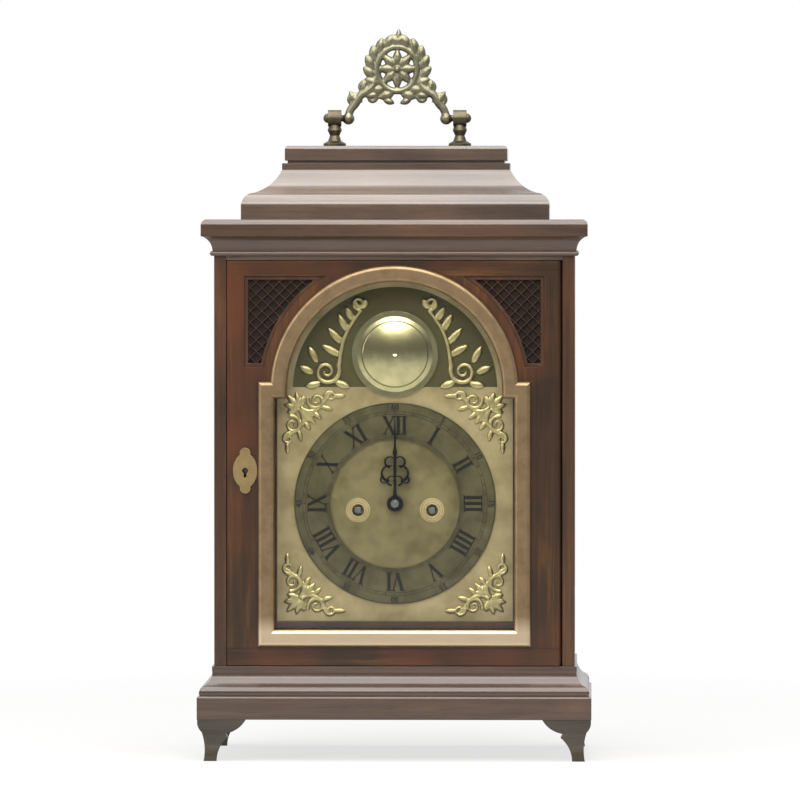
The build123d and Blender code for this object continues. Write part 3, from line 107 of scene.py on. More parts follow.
class Finish:
    """One procedural material, or the world, built from nodes."""

    def __init__(self, name, kept_in=bpy.data.materials):
        self.owner = kept_in.new(name)
        self.owner.use_nodes = True
        self.tree = self.owner.node_tree
        self.tree.nodes.clear()
        self.place = self.node("ShaderNodeTexCoord", {}, {}, "Object")

    def node(self, kind, settings, values, output=0):
        """Add a node: its settings first, then the values or links of its sockets."""
        made = self.tree.nodes.new(kind)
        for name, setting in settings.items():
            if name == "stops":
                self.set_stops(made.color_ramp, setting)
            else:
                setattr(made, name, setting)
        for name, value in values.items():
            socket = next((s for s in made.inputs if s.identifier == name), None) or made.inputs[name]
            if isinstance(value, Value):
                self.tree.links.new(value.socket, socket)
            else:
                socket.default_value = value
        found = next((s for s in made.outputs if s.identifier == output), None)
        return Value(self, found or made.outputs[output])

    @staticmethod
    def set_stops(ramp, stops):
        while len(ramp.elements) < len(stops):
            ramp.elements.new(0.5)
        for element, (position, tone) in zip(ramp.elements, stops):
            element.position = position
            element.color = tone

    def mix(self, amount, first, second):
        values = {"Factor_Float": amount, "A_Color": first, "B_Color": second}
        return self.node("ShaderNodeMix", {"data_type": "RGBA"}, values, "Result_Color")

    def stretched(self, scale, move=(0, 0, 0)):
        """Object coordinates, moved and stretched."""
        return self.node("ShaderNodeMapping", {}, {"Vector": self.place, "Location": move, "Scale": scale})

    def noise(self, scale, detail, rough=0.55, where=None, distortion=0.0):
        values = {"Vector": where or self.place, "Scale": scale, "Detail": detail, "Roughness": rough,
                  "Distortion": distortion}
        return self.node("ShaderNodeTexNoise", {}, values)

    def band(self, amount, low, high):
        """0 below low, 1 above high, with a straight run between."""
        values = {"Value": amount, "From Min": low, "From Max": high, "To Min": 0.0, "To Max": 1.0}
        return self.node("ShaderNodeMapRange", {"clamp": True}, values)

    def axes(self):
        return [self.node("ShaderNodeSeparateXYZ", {}, {"Vector": self.place}, i) for i in range(3)]

    def away(self, x, z):
        """Distance in X and Z from a point of the dial or the movement."""
        px, _, pz = self.axes()
        return ((px - x) * (px - x) + (pz - z) * (pz - z)) ** 0.5

    def rounded(self, radius):
        """A normal that makes sharp edges look worn round to a radius."""
        return self.node("ShaderNodeBevel", {"samples": 4}, {"Radius": radius})

    def bump(self, height, distance, strength, under=None):
        values = {"Height": height, "Distance": distance, "Strength": strength}
        if under:
            values["Normal"] = under
        return self.node("ShaderNodeBump", {}, values)

    def surface(self, **values):
        """Close with a Principled shader; its sockets are named with underscores for spaces."""
        sockets = {name.replace("_", " "): value for name, value in values.items()}
        return self.close(self.node("ShaderNodeBsdfPrincipled", {}, sockets))

    def close(self, shader):
        """Join the last shader to the output and give back the material or the world."""
        is_world = isinstance(self.owner, bpy.types.World)
        out = self.tree.nodes.new("ShaderNodeOutputWorld" if is_world else "ShaderNodeOutputMaterial")
        self.tree.links.new(shader.socket, out.inputs["Surface"])
        return self.owner


def colour(*screen):
    """A colour as it looks on screen, 0 to 255, turned to the linear values that shaders use."""
    shares = [part / 255 for part in screen]
    return (*[c / 12.92 if c <= 0.04045 else ((c + 0.055) / 1.055) ** 2.4 for c in shares], 1.0)


def drawn_out(axis, share):
    """Scales that draw a pattern out along one axis."""
    return tuple(share if letter == axis else 1.0 for letter in "xyz")


def sawn_board(f, axis, draw, figure, curl, move, dark, middle, light):
    """Colour, pores and fine streaks of a board that is sawn along an axis."""
    flame = f.noise(figure, 5.0, 0.6, f.stretched(drawn_out(axis, draw), move), curl)
    fine = drawn_out(axis, 0.03)
    streak = f.noise(240.0, 3.0, 0.6, f.stretched(fine))
    thread = f.noise(760.0, 2.0, 0.5, f.stretched(fine))
    pores = f.band(f.noise(1500.0, 2.0, 0.5, f.stretched(fine)), 0.60, 0.72)
    tone = flame * 0.55 + streak * 0.27 + thread * 0.18
    stops = [(0.34, colour(*dark)), (0.52, colour(*middle)), (0.70, colour(*light))]
    return f.node("ShaderNodeValToRGB", {"stops": stops}, {"Fac": tone}), pores, streak


def mahogany(name, grain, light, dark, figure=1.0, seed=0.0, polish=0.35, warmth=0.3):
    f = Finish(name)
    middle = [(a + b) / 2 for a, b in zip(light, dark)]
    move = (seed, seed * 0.7, seed * 1.3)
    base, pores, streak = sawn_board(f, grain, 0.16, 26.0 * figure, 1.4, move, dark, middle, light)
    cloud = f.band(f.noise(9.0, 2.0, 0.5), 0.42, 0.66)
    warm = f.mix(cloud * warmth, base, colour(88, 50, 30))
    wear = f.noise(55.0, 4.0, 0.6)
    normal = f.bump(streak * 0.4 - pores * 0.5, 0.00006, 0.35, f.rounded(0.8 * mm))
    return f.surface(Base_Color=f.mix(pores * 0.55, warm, colour(28, 17, 11)), Roughness=0.32 + wear * 0.16,
                     Coat_Weight=polish, Coat_Roughness=0.18, Coat_IOR=1.7, Specular_IOR_Level=0.3,
                     Normal=normal)


def dress(material, *names):
    for name in names:
        mesh = frame["nodes"][name].data
        mesh.materials.clear()
        mesh.materials.append(material)


foot_wood = mahogany("mahogany_feet", "x", (84, 76, 62), (42, 38, 31), seed=1.3, warmth=0.05)
base_wood = mahogany("mahogany_base", "x", (96, 72, 54), (44, 31, 24), seed=0.53, polish=0.6, warmth=0.15)
upright = mahogany("mahogany_upright", "z", (98, 62, 32), (34, 20, 10))
across = mahogany("mahogany_across", "x", (102, 78, 57), (46, 33, 25), seed=0.31, polish=0.6)
# The bell top, its cap and the top frame get a lighter, greyer mahogany than the sides: partly painted
# sheen, the polish's reflection of the light from above put into the wood's colour.
sheen_painted_top_wood = mahogany("mahogany_top", "x", (106, 86, 70), (54, 41, 32), figure=0.8, seed=0.77, polish=0.9,
                    warmth=0.15)
dress(foot_wood, "bracket_feet")
dress(base_wood, "base_moulding")
dress(upright, "case_sides")
dress(across, "cornice_moulding")
dress(sheen_painted_top_wood, "bell_top_mouldings", "bell_top_cap", "top_frame")


# The boards that nobody sees are oak, planed and left with little polish: the base frame with
# its floor, and the seat board on two cleats that the movement stands on.
inside_oak = mahogany("oak_inside", "x", (150, 116, 78), (104, 74, 46), figure=0.6, seed=2.1)
dress(inside_oak, "base_frame", "seat_board")


# The small brass of the case is cast or drawn, lacquered, and toned to a soft olive gold that is
# dull in the hollows: beads pinned round the side windows, hinge plates and hinge leaves.
def brass(name, clean, dull, rough=0.28, grain=0.0, tarnish=0.5, scale=90.0, painted_highlight_below=None):
    """Toned brass. The last argument, if given, is a height and a colour: a highlight painted on the metal
    below that height.
    """
    f = Finish(name)
    patch = f.noise(scale, 5.0, 0.6)
    speck = f.noise(scale * 9.0, 3.0, 0.6)
    hollow = f.node("ShaderNodeAmbientOcclusion", {"samples": 6}, {"Distance": 3.0 * mm}, 1)
    grime = 1.0 - f.band(hollow, 0.35, 0.85)
    toned = f.mix(f.band(patch, 0.40, 0.68) * tarnish, colour(*clean), colour(*dull))
    # Below the given height the colour is a painted highlight: the light that an upward slope catches from
    # above.
    if painted_highlight_below:
        height, bright = painted_highlight_below
        fade = 12.0 * mm
        toned = f.mix(1.0 - f.band(f.axes()[2], height, height + fade), toned, colour(*bright))
    paint = f.mix(grime * 0.65, toned, colour(58, 46, 24))
    lines = f.noise(420.0, 2.0, 0.5, f.stretched(drawn_out("x", 0.04)))
    normal = f.bump(lines * grain + speck * 0.35, 0.00004, 0.4, f.rounded(0.4 * mm))
    return f.surface(Base_Color=paint, Metallic=1.0, Roughness=rough + patch * 0.14 + grime * 0.2,
                     Normal=normal)


case_brass = brass("lacquered_brass", (196, 170, 116), (132, 112, 72))
dress(case_brass, "side_window_beads", "case_hinge_plates", "front_door_hinges", "rear_door_hinges")


# The panes are old crown glass, clear, with a faint green cast and a slow ripple, held by slips.
# They are thin, so light goes straight through them.
def old_glass():
    f = Finish("old_glass")
    normal = f.bump(f.noise(14.0, 2.0, 0.5), 2.0 * mm, 0.12)
    clear = f.node("ShaderNodeBsdfTransparent", {}, {"Color": (0.965, 0.975, 0.96, 1.0)})
    gloss = f.node("ShaderNodeBsdfGlossy", {}, {"Color": (1, 1, 1, 1), "Roughness": 0.03, "Normal": normal})
    facing = f.node("ShaderNodeLayerWeight", {}, {"Blend": 0.5, "Normal": normal}, "Facing")
    share = 0.025 + facing ** 4.0 * 0.55
    return f.close(f.node("ShaderNodeMixShader", {}, {"Fac": share, 1: clear, 2: gloss}))


dress(old_glass(), "side_glass", "front_glass", "rear_glass")


# The two plates that hold the wheels are hammered brass. The back one has an engraved border:
# lines along its edge with a row of slanting cuts between them.
def engraved_plates():
    f = Finish("engraved_plates")
    low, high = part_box("movement_plates")
    px, _, pz = f.axes()
    to_side = (high[0] - low[0]) / 2 - abs(px)
    edge = to_side.least((pz - low[2]).least(high[2] - pz))
    line, line_edge = 0.10 * mm, 0.30 * mm
    cuts = 0.0
    for inset in (3.0, 8.0, 9.2):
        cuts = cuts + (1.0 - f.band(abs(edge - inset * mm), line, line_edge))
    between = edge.above(3.6 * mm) * edge.below(7.4 * mm)
    slant = ((px + pz) * 1900.0).wave()
    cuts = cuts + f.band(slant, 0.55, 0.9) * between
    patch = f.noise(70.0, 4.0, 0.6)
    grain = f.noise(420.0, 2.0, 0.5, f.stretched(drawn_out("z", 0.04)))
    paint = f.mix(f.band(patch, 0.40, 0.70) * 0.35, colour(208, 182, 122), colour(168, 142, 90))
    normal = f.bump(grain * 0.2 - cuts, 0.0001, 0.5, f.rounded(0.4 * mm))
    return f.surface(Base_Color=f.mix(cuts * 0.55, paint, colour(74, 56, 26)), Metallic=1.0,
                     Roughness=0.26 + patch * 0.14, Normal=normal)


dress(engraved_plates(), "movement_plates")


# Turned pillars hold the plates apart. They, the great wheels, barrels, cock, pendulum and door
# locks are of the same yellow brass. The barrel arbors, anchor, hammer and lock bolts are steel.
movement_brass = brass("movement_brass", (208, 182, 122), (168, 142, 90), 0.26, 0.8, 0.35)
steel = brass("polished_steel", (176, 176, 178), (120, 118, 116), 0.24, 0.4, 0.4)
dress(movement_brass, "movement_pillars", "back_cock", "bell_stand", "going_great_wheel",
      "strike_great_wheel", "going_barrel", "strike_barrel", "pendulum", "front_lock", "rear_lock")
dress(steel, "barrel_arbors", "pallets", "hammer", "front_lock_bolt", "rear_lock_bolt")


# Wheels are brass, crossed out and turned, and pressed on steel arbors: the steel shows round
# each axis, out to the leaves of the pinion that is cut on it.
def wheel_finish(node, joint, steel_radius):
    x, _, z = next(j for j in frame["joints"] if j["name"] == joint)["pos_m"]
    f = Finish(node + "_metal")
    out = f.away(x, z)
    patch = f.noise(120.0, 4.0, 0.6)
    brass_paint = f.mix(f.band(patch, 0.4, 0.7) * 0.4, colour(214, 184, 112), colour(170, 138, 80))
    steel_paint = f.mix(patch, colour(178, 178, 180), colour(112, 112, 116))
    turned_rings = (out * 9000.0).wave()
    normal = f.bump(turned_rings * 0.5 + patch, 0.00003, 0.3, f.rounded(0.3 * mm))
    return f.surface(Base_Color=f.mix(out.below(steel_radius), brass_paint, steel_paint), Metallic=1.0,
                     Roughness=0.24 + patch * 0.14, Normal=normal)


for wheel_node, wheel_joint, hub in (
        ("centre_arbor", "minute_hand_turn", 3.6), ("minute_wheel", "minute_wheel_turn", 3.5),
        ("hour_wheel", "hour_hand_turn", 2.4), ("third_wheel", "third_wheel_turn", 1.8),
        ("escape_wheel", "escape_wheel_turn", 1.8), ("pin_wheel", "pin_wheel_turn", 3.2),
        ("gathering_wheel", "gathering_wheel_turn", 2.4), ("warning_wheel", "warning_wheel_turn", 2.2),
        ("fly", "fly_turn", 1.4), ("going_fusee", "going_great_turn", 3.4),
        ("strike_fusee", "strike_great_turn", 3.4)):
    dress(wheel_finish(wheel_node, wheel_joint, hub * mm), wheel_node)


# The bell is cast in bell metal, paler than brass, turned bright and screwed to its stand.
# It hangs over the plates, under the bell top of the case.
bell_metal = brass("bell_metal", (206, 190, 150), (150, 134, 96), 0.22, 0.3)
dress(bell_metal, "chime_bell")


# The dial stands in a mahogany mask. Its plate is brass, fire gilt and now dull, on four feet.
# The front is matted inside the chapter ring and in the arch, and turned about the winding holes.
ring_low, ring_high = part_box("chapter_ring")
dial_z = (ring_low[2] + ring_high[2]) / 2
ring_outer = (ring_high[0] - ring_low[0]) / 2
ring_inner = ring_outer - 27.0 * mm
ring_front = ring_low[1]
plate_low, plate_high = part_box("dial_plate")
dial_front = plate_low[1]


def dial_finish():
    f = Finish("gilt_dial")
    winding_x, winding_drop, turned_zone = 27.5 * mm, 5.0 * mm, 9.0 * mm
    arch_z = plate_high[2] - (plate_high[0] - 7.0 * mm)
    arch_ground, arch_foot = 76.0 * mm, dial_z + 86.5 * mm
    matting_edge = ring_inner + 1.0 * mm
    _, py, pz = f.axes()
    face = py.below(dial_front + 0.3 * mm)
    stipple = f.noise(2600.0, 2.0, 0.6)
    patch = f.noise(40.0, 5.0, 0.6)
    plain = f.mix(f.band(patch, 0.36, 0.7), colour(200, 182, 140), colour(158, 141, 101))
    frosted = f.mix(f.band(patch, 0.40, 0.62), colour(142, 131, 94), colour(112, 102, 69))
    rings = 0.0
    near = 0.0
    for x in (-winding_x, winding_x):
        hole = f.away(x, dial_z - winding_drop)
        zone = hole.below(turned_zone) * face
        rings = rings + zone * (hole * 3400.0).wave()
        near = near + zone
    ground = f.away(0.0, arch_z).below(arch_ground) * pz.above(arch_foot) * face
    centre = f.away(0.0, dial_z).below(matting_edge) * face
    matted = centre.most(ground)
    shade = f.mix(matted * (1.0 - near), plain, frosted)
    shade = f.mix(ground, shade, colour(90, 84, 55))
    shade = f.mix(f.band(rings, 0.2, 0.9) * 0.45, shade, colour(96, 86, 54))
    height = stipple * matted * 1.2 + rings * 0.8 + patch * 0.3
    normal = f.bump(height, 0.00012, 0.55, f.rounded(0.3 * mm))
    return f.surface(Base_Color=shade, Metallic=0.85, Roughness=0.38 + matted * 0.16 + patch * 0.1,
                     Normal=normal)


dress(upright, "dial_surround")
dress(dial_finish(), "dial_plate")


# The chapter ring is brass, turned and silvered, and pinned flat to the plate. The silver has
# toned to olive grey, and fine circles of the lathe show in it.
def silvered():
    f = Finish("tarnished_silvering")
    turned = f.node("ShaderNodeCombineXYZ", {}, {"X": f.away(0.0, dial_z) * 2600.0, "Y": 0.0, "Z": 0.0})
    grain = f.noise(1.0, 3.0, 0.6, turned)
    patch = f.noise(60.0, 5.0, 0.65)
    paint = f.mix(f.band(patch, 0.36, 0.66), colour(108, 100, 70), colour(78, 71, 46))
    normal = f.bump(grain, 0.00003, 0.3, f.rounded(0.3 * mm))
    return f.surface(Base_Color=paint, Metallic=0.7, Roughness=0.42 + patch * 0.14, Normal=normal)


dress(silvered(), "chapter_ring")


# Black wax fills the engraving of the chapter ring: Roman hours, cut with broad and hair strokes
# between serifs. The wax stands a hair proud of the metal.
def black_wax():
    f = Finish("black_wax")
    speck = f.noise(900.0, 3.0, 0.6)
    paint = f.mix(speck, colour(14, 13, 11), colour(30, 27, 22))
    return f.surface(Base_Color=paint, Roughness=0.55 + speck * 0.2, Specular_IOR_Level=0.2)


wax = black_wax()
wax_thick = 0.15 * mm


def keep(name, shape, body, material, smooth=False):
    """Turn a bmesh into a piece that rides on a body, with its normals facing out."""
    bmesh.ops.recalc_face_normals(shape, faces=shape.faces)
    mesh = bpy.data.meshes.new(name)
    shape.to_mesh(mesh)
    shape.free()
    piece = bpy.data.objects.new(name, mesh)
    bpy.context.scene.collection.objects.link(piece)
    mesh.materials.append(material)
    for face in mesh.polygons:
        face.use_smooth = smooth
    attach(piece, body)
    return piece


def stroke(shape, start, end, width):
    """A straight cut between two points of the dial: one square, drawn out and turned."""
    run = Vector(end) - Vector(start)
    middle = (Vector(start) + Vector(end)) / 2
    stand_up = Matrix.Rotation(pi / 2, 4, "X") @ Matrix.Diagonal((run.length, width, 1.0, 1.0))
    turn = Matrix.Rotation(-atan2(run.y, run.x), 4, "Y")
    bmesh.ops.create_grid(shape, x_segments=1, y_segments=1, size=0.5,
                          matrix=Matrix.Translation((middle.x, 0.0, middle.y)) @ turn @ stand_up)


def glyph(letter):
    """Strokes of one letter of a Roman numeral, in millimetres: start, end and width; its advance."""
    tall, thick, thin = 13.0, 2.4, 0.95
    if letter == "I":
        return [((0, 0), (0, tall), thick), ((-2.2, 0), (2.2, 0), thin),
                ((-2.2, tall), (2.2, tall), thin)], 4.4
    if letter == "V":
        return [((-3.2, tall), (0.6, 0), thick), ((3.4, tall), (0.2, 0), thin),
                ((-5.2, tall), (-1.6, tall), thin), ((1.8, tall), (4.8, tall), thin)], 9.0
    return [((-3.4, tall), (3.4, 0), thick), ((3.4, tall), (-3.4, 0), thin),
            ((-5.0, tall), (-1.8, tall), thin), ((1.8, tall), (5.0, tall), thin),
            ((-5.0, 0), (-1.8, 0), thin), ((1.8, 0), (5.0, 0), thin)], 9.4


def set_on_ring(shape, before, radius, turn):
    """Move what was drawn last about the origin out to a radius and an angle of the dial."""
    fresh = [v for v in shape.verts if v not in before]
    to_dial = Matrix.Translation((0.0, ring_front, dial_z)) @ Matrix.Rotation(turn, 4, "Y")
    bmesh.ops.transform(shape, verts=fresh, matrix=to_dial @ Matrix.Translation((0.0, 0.0, radius)))


def thicken(shape, depth):
    """Give flat faces a thickness along Y."""
    made = bmesh.ops.extrude_face_region(shape, geom=shape.faces[:])
    moved = [v for v in made["geom"] if isinstance(v, bmesh.types.BMVert)]
    bmesh.ops.translate(shape, verts=moved, vec=(0, depth, 0))


widest_numeral = 22.0
hours = ["XII", "I", "II", "III", "IIII", "V", "VI", "VII", "VIII", "IX", "X", "XI"]
numerals = bmesh.new()
for hour, text in enumerate(hours):
    letters = [glyph(letter) for letter in text]
    span = sum(advance for _, advance in letters)
    squeeze = min(1.0, widest_numeral / span)
    start = -span / 2
    before = set(numerals.verts)
    for strokes, advance in letters:
        middle = start + advance / 2
        for *ends, width in strokes:
            stroke(numerals, *[((middle + x) * squeeze * mm, z * mm) for x, z in ends], width * mm)
        start += advance
    set_on_ring(numerals, before, ring_inner + 3.6 * mm, hour * pi / 6)
thicken(numerals, -wax_thick)
keep("hour_numerals", numerals, "case", wax)


# The minute track is engraved outside the hours and the quarter track inside them: thin circles,
# with a cut at each minute and at each quarter of an hour, filled with the same wax.
def flat_ring(shape, centre, radius, width, steps):
    """A flat ring in the dial's plane: the edge across it, spun once round its centre."""
    ends = [shape.verts.new(Vector(centre) + Vector((0, 0, radius + part * width / 2))) for part in (-1, 1)]
    across_ring = shape.edges.new(ends)
    bmesh.ops.spin(shape, geom=[*ends, across_ring], cent=centre, axis=(0, 1, 0), angle=2 * pi, steps=steps,
                   use_merge=True)


def cut_marks(shape, count, radius, length, width):
    """Short cuts that point outwards from a circle, all round it."""
    for mark in range(count):
        before = set(shape.verts)
        stroke(shape, (0, 0), (0, length), width)
        set_on_ring(shape, before, radius, 2 * pi * mark / count)


minute_circle, quarter_circle = ring_outer - 8.6 * mm, ring_inner + 1.0 * mm
track = bmesh.new()
for radius in (ring_outer - 0.8 * mm, ring_outer - 6.4 * mm, minute_circle, quarter_circle,
               ring_inner + 2.6 * mm):
    flat_ring(track, (0.0, ring_front, dial_z), radius, 0.3 * mm, 144)
cut_marks(track, 60, minute_circle, 2.2 * mm, 0.5 * mm)
cut_marks(track, 48, quarter_circle, 1.6 * mm, 0.4 * mm)
thicken(track, -wax_thick)
keep("minute_track", track, "case", wax)


# Outside the minutes stands a small Arabic figure at each five, 5 to 60, with its head outwards.
# It is engraved and waxed like the hours.
def five_minute_figure(number):
    """One figure, drawn flat about the origin."""
    text = bpy.data.curves.new("five_minutes", "FONT")
    text.body = str(number)
    text.size = 6.0 * mm
    text.offset = 0.12 * mm
    text.align_x = "CENTER"
    text.align_y = "CENTER"
    holder = bpy.data.objects.new("five_minutes", text)
    bpy.context.scene.collection.objects.link(holder)
    flat = bpy.data.meshes.new_from_object(holder.evaluated_get(bpy.context.evaluated_depsgraph_get()))
    bpy.data.objects.remove(holder)
    flat.transform(Matrix.Rotation(pi / 2, 4, "X"))
    return flat


def add_mesh(shape, mesh):
    shape.from_mesh(mesh)
    bpy.data.meshes.remove(mesh)


figures = bmesh.new()
for five in range(1, 13):
    before = set(figures.verts)
    add_mesh(figures, five_minute_figure(five * 5))
    set_on_ring(figures, before, ring_outer - 3.6 * mm, five * pi / 6)
thicken(figures, -wax_thick)
keep("minute_numerals", figures, "case", wax)


# The dial mounts are cast brass, chased and gilt, and screwed on from behind: in each corner a
# leaf between two scrolls, and on each side of the boss a larger scroll with leaves.
def tapered(first, last, count):
    return [first + (last - first) * i / (count - 1) for i in range(count)]


def cast_rod(points, radii, y):
    """A smooth tapering rod through points (x, z) of a plane at y, in millimetres, made a mesh."""
    curve = bpy.data.curves.new("casting", "CURVE")
    curve.dimensions = "3D"
    curve.bevel_depth = 1.0
    curve.bevel_resolution = 3
    curve.use_fill_caps = True
    spline = curve.splines.new("NURBS")
    spline.points.add(len(points) - 1)
    for point, (x, z), radius in zip(spline.points, points, radii):
        point.co = (x * mm, y * mm, z * mm, 1.0)
        point.radius = radius * mm
    spline.order_u = 3
    spline.use_endpoint_u = True
    spline.resolution_u = 4
    holder = bpy.data.objects.new("casting", curve)
    bpy.context.scene.collection.objects.link(holder)
    mesh = bpy.data.meshes.new_from_object(holder.evaluated_get(bpy.context.evaluated_depsgraph_get()))
    bpy.data.objects.remove(holder)
    return mesh


def spiral(x, z, first, last, start, turns, count, flip):
    """Points of a scroll that winds from one radius to another; start in degrees."""
    points = []
    for i in range(count + 1):
        share = i / count
        radius = first + (last - first) * share ** 0.8
        angle = radians(start + flip * 360 * turns * share)
        points.append((x + radius * cos(angle), z + radius * sin(angle)))
    return points


def leaf(shape, x, z, length, width, lean, y, thick):
    """One rounded leaf lobe from a point along lean in degrees: a ball, drawn out and tapered."""
    turn = Matrix.Rotation(radians(90 - lean), 4, "Y")
    for v in bmesh.ops.create_uvsphere(shape, u_segments=14, v_segments=8, radius=1.0)["verts"]:
        taper = 1.0 - 0.45 * max(v.co.z, 0.0) ** 2
        spot = turn @ Vector((v.co.x * width / 2 * taper, v.co.y * thick, (v.co.z + 0.9) * length / 2))
        v.co = (spot + Vector((x, y, z))) * mm


def fuse(shape, name, body, material, voxel, node):
    """Melt the lobes and scrolls of a casting into one smooth skin that replaces a plain node."""
    piece = keep(name, shape, body, material, True)
    remesh = piece.modifiers.new("fuse", "REMESH")
    remesh.mode = "VOXEL"
    remesh.voxel_size = voxel
    remesh.use_smooth_shade = True
    soften = piece.modifiers.new("soften", "SMOOTH")
    soften.iterations = 2
    soften.factor = 0.5
    loose = piece.data
    graph = bpy.context.evaluated_depsgraph_get()
    piece.data = bpy.data.meshes.new_from_object(piece.evaluated_get(graph))
    piece.modifiers.clear()
    bpy.data.meshes.remove(loose)
    piece.data.name = name
    for face in piece.data.polygons:
        face.use_smooth = True
    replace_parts(piece, node)


mounts = bmesh.new()
mount_y = dial_front / mm - 0.4
corner_at = plate_high[0] / mm - 3.0
boss_low, boss_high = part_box("arch_boss")
boss_z = (boss_low[2] + boss_high[2]) / 2


def in_corner(side, up):
    """Frame of a corner's motif, in millimetres: u and v run inwards from the plate's corner."""
    return lambda u, v: (side * (corner_at - u), dial_z / mm + up * (corner_at - v))


def beside_boss(side):
    """Frame of a motif beside the boss, in millimetres from the boss's middle."""
    return lambda x, z: (side * x, boss_z / mm + z)


def lay_scroll(place, points, thick, thin):
    laid = [place(x, z) for x, z in points]
    add_mesh(mounts, cast_rod(laid, tapered(thick, thin, len(laid)), mount_y))


def lay_leaf(place, x, z, angle, length, width):
    """A leaf of the motif, turned to the way that its frame is turned."""
    x0, z0 = place(x, z)
    x1, z1 = place(x + cos(radians(angle)), z + sin(radians(angle)))
    leaf(mounts, x0, z0, length, width, degrees(atan2(z1 - z0, x1 - x0)), mount_y, 1.7)


def corner_mount(place):
    """A fan of leaves on the diagonal, with the same two scrolls and stem along either side."""
    for angle, length in ((225, 15.0), (258, 13.0), (192, 13.0), (290, 11.0), (160, 11.0)):
        lay_leaf(place, 15.0, 15.0, angle, length, 5.6)
    for angle, length in ((45, 15.0), (20, 11.0), (70, 11.0)):
        lay_leaf(place, 17.0, 17.0, angle, length, 5.4)
    scroll = spiral(27.5, 9.5, 7.0, 1.4, 200, 1.45, 26, -1)
    tail = spiral(38.0, 6.5, 4.6, 1.0, 160, 1.3, 20, 1)
    stem = [(16, 15), (20, 17.5), (26, 17.5), (31, 14), (34, 9), (38, 4)]
    small_leaves = ((40.0, 6.0, 0, 10.0), (31.0, 14.0, 15, 10.0), (25.0, 18.0, 40, 9.0))
    for points, thick, thin in ((scroll, 1.8, 0.9), (tail, 1.6, 0.8), (stem, 1.9, 1.2)):
        lay_scroll(place, points, thick, thin)
        lay_scroll(place, [(z, x) for x, z in points], thick, thin)
    for u, v, angle, length in small_leaves:
        lay_leaf(place, u, v, angle, length, 4.4)
        lay_leaf(place, v, u, 90 - angle, length, 4.4)


def arch_mount(place):
    """A large scroll at the arch's foot, a stem that climbs round the boss, and its leaves."""
    lay_scroll(place, spiral(51.0, -13.0, 10.5, 1.6, 150, 1.6, 30, 1), 2.2, 1.0)
    lay_scroll(place, spiral(27.0, 38.0, 5.0, 1.2, 250, 1.4, 20, 1), 1.8, 0.9)
    lay_scroll(place, [(41.5, -8), (40.5, 2), (37.5, 14), (32, 24), (25, 33)], 2.1, 1.5)
    for x, z, angle, length in ((41.0, -1.0, 30, 17.0), (39.5, 8.0, 48, 17.0), (35.5, 17.0, 62, 16.0),
                                (31.0, 25.0, 60, 13.0), (58.0, -6.0, 62, 15.0), (61.0, -14.0, 25, 13.0),
                                (44.0, -21.0, 200, 12.0), (56.0, -22.0, -10, 12.0), (25.0, 34.0, 120, 9.0)):
        lay_leaf(place, x, z, angle, length, 6.2)


for side in (1, -1):
    corner_mount(in_corner(side, 1))
    corner_mount(in_corner(side, -1))
    arch_mount(beside_boss(side))
gilt = brass("gilt_mounts", (204, 190, 140), (140, 126, 82), 0.32, 0.0, 0.55, 160.0)
fuse(mounts, "cast_dial_mounts", "case", gilt, 0.45 * mm, "dial_spandrels")


# The boss in the arch is a polished brass dome inside a turned rim, held by one screw from
# behind. A fine line is cut where the dome meets the rim.
def boss_finish():
    f = Finish("domed_boss_brass")
    line_radius, line_width, soft = 23.8 * mm, 0.8 * mm, 0.4 * mm
    out = f.away(0.0, boss_z) - line_radius
    patch = f.noise(60.0, 5.0, 0.6)
    line = (1.0 - f.band(out - line_width, 0.0, soft)) * f.band(out, 0.0, soft)
    paint = f.mix(f.band(patch, 0.4, 0.7) * 0.5, colour(214, 204, 158), colour(150, 140, 96))
    normal = f.bump(0.0 - line, 0.0002, 0.5, f.rounded(0.4 * mm))
    return f.surface(Base_Color=f.mix(line * 0.7, paint, colour(60, 54, 30)), Metallic=1.0,
                     Roughness=0.14 + patch * 0.12, Normal=normal)


dress(boss_finish(), "arch_boss")


# The hour hand is steel, sawn, filed and blued. It opens in pierced scrolls over its collar, ends
# in a point, and sits on the hour wheel's pipe.
def blued():
    f = Finish("blued_steel")
    patch = f.noise(70.0, 4.0, 0.6)
    paint = f.mix(patch, colour(20, 22, 34), colour(44, 38, 40))
    return f.surface(Base_Color=paint, Metallic=0.9, Roughness=0.26 + patch * 0.12,
                     Normal=f.rounded(0.3 * mm))


blue = blued()
hand_thick = 1.0 * mm


def ribbon(shape, points, widths):
    """A flat ribbon through points (x, z) in millimetres, drawn out edge by edge from its first one."""
    edge = None
    for i, (x, z) in enumerate(points):
        (x0, z0), (x1, z1) = points[max(i - 1, 0)], points[min(i + 1, len(points) - 1)]
        run = Vector((x1 - x0, 0.0, z1 - z0)).normalized()
        half = Vector((-run.z, 0.0, run.x)) * widths[i] / 2
        if edge:
            made = bmesh.ops.extrude_edge_only(shape, edges=[edge])["geom"]
            edge = next(part for part in made if isinstance(part, bmesh.types.BMEdge))
        else:
            edge = shape.edges.new([shape.verts.new(), shape.verts.new()])
        for v, way in zip(edge.verts, (1, -1)):
            v.co = (Vector((x, 0.0, z)) + half * way) * mm


def bow(shape, x, z, radius, start, sweep, count, thick, thin):
    """A sawn bow: a tapering ribbon along part of a circle; angles in degrees."""
    angles = [radians(start + sweep * i / count) for i in range(count + 1)]
    points = [(x + radius * cos(angle), z + radius * sin(angle)) for angle in angles]
    ribbon(shape, points, tapered(thick, thin, count + 1))


def finish_hand(shape, name, node):
    """Give a hand its thickness and put it where the plain one is; its body has the node's name."""
    thicken(shape, hand_thick)
    bmesh.ops.translate(shape, verts=shape.verts, vec=(0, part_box(node)[0][1], dial_z))
    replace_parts(keep(name, shape, node, blue), node)


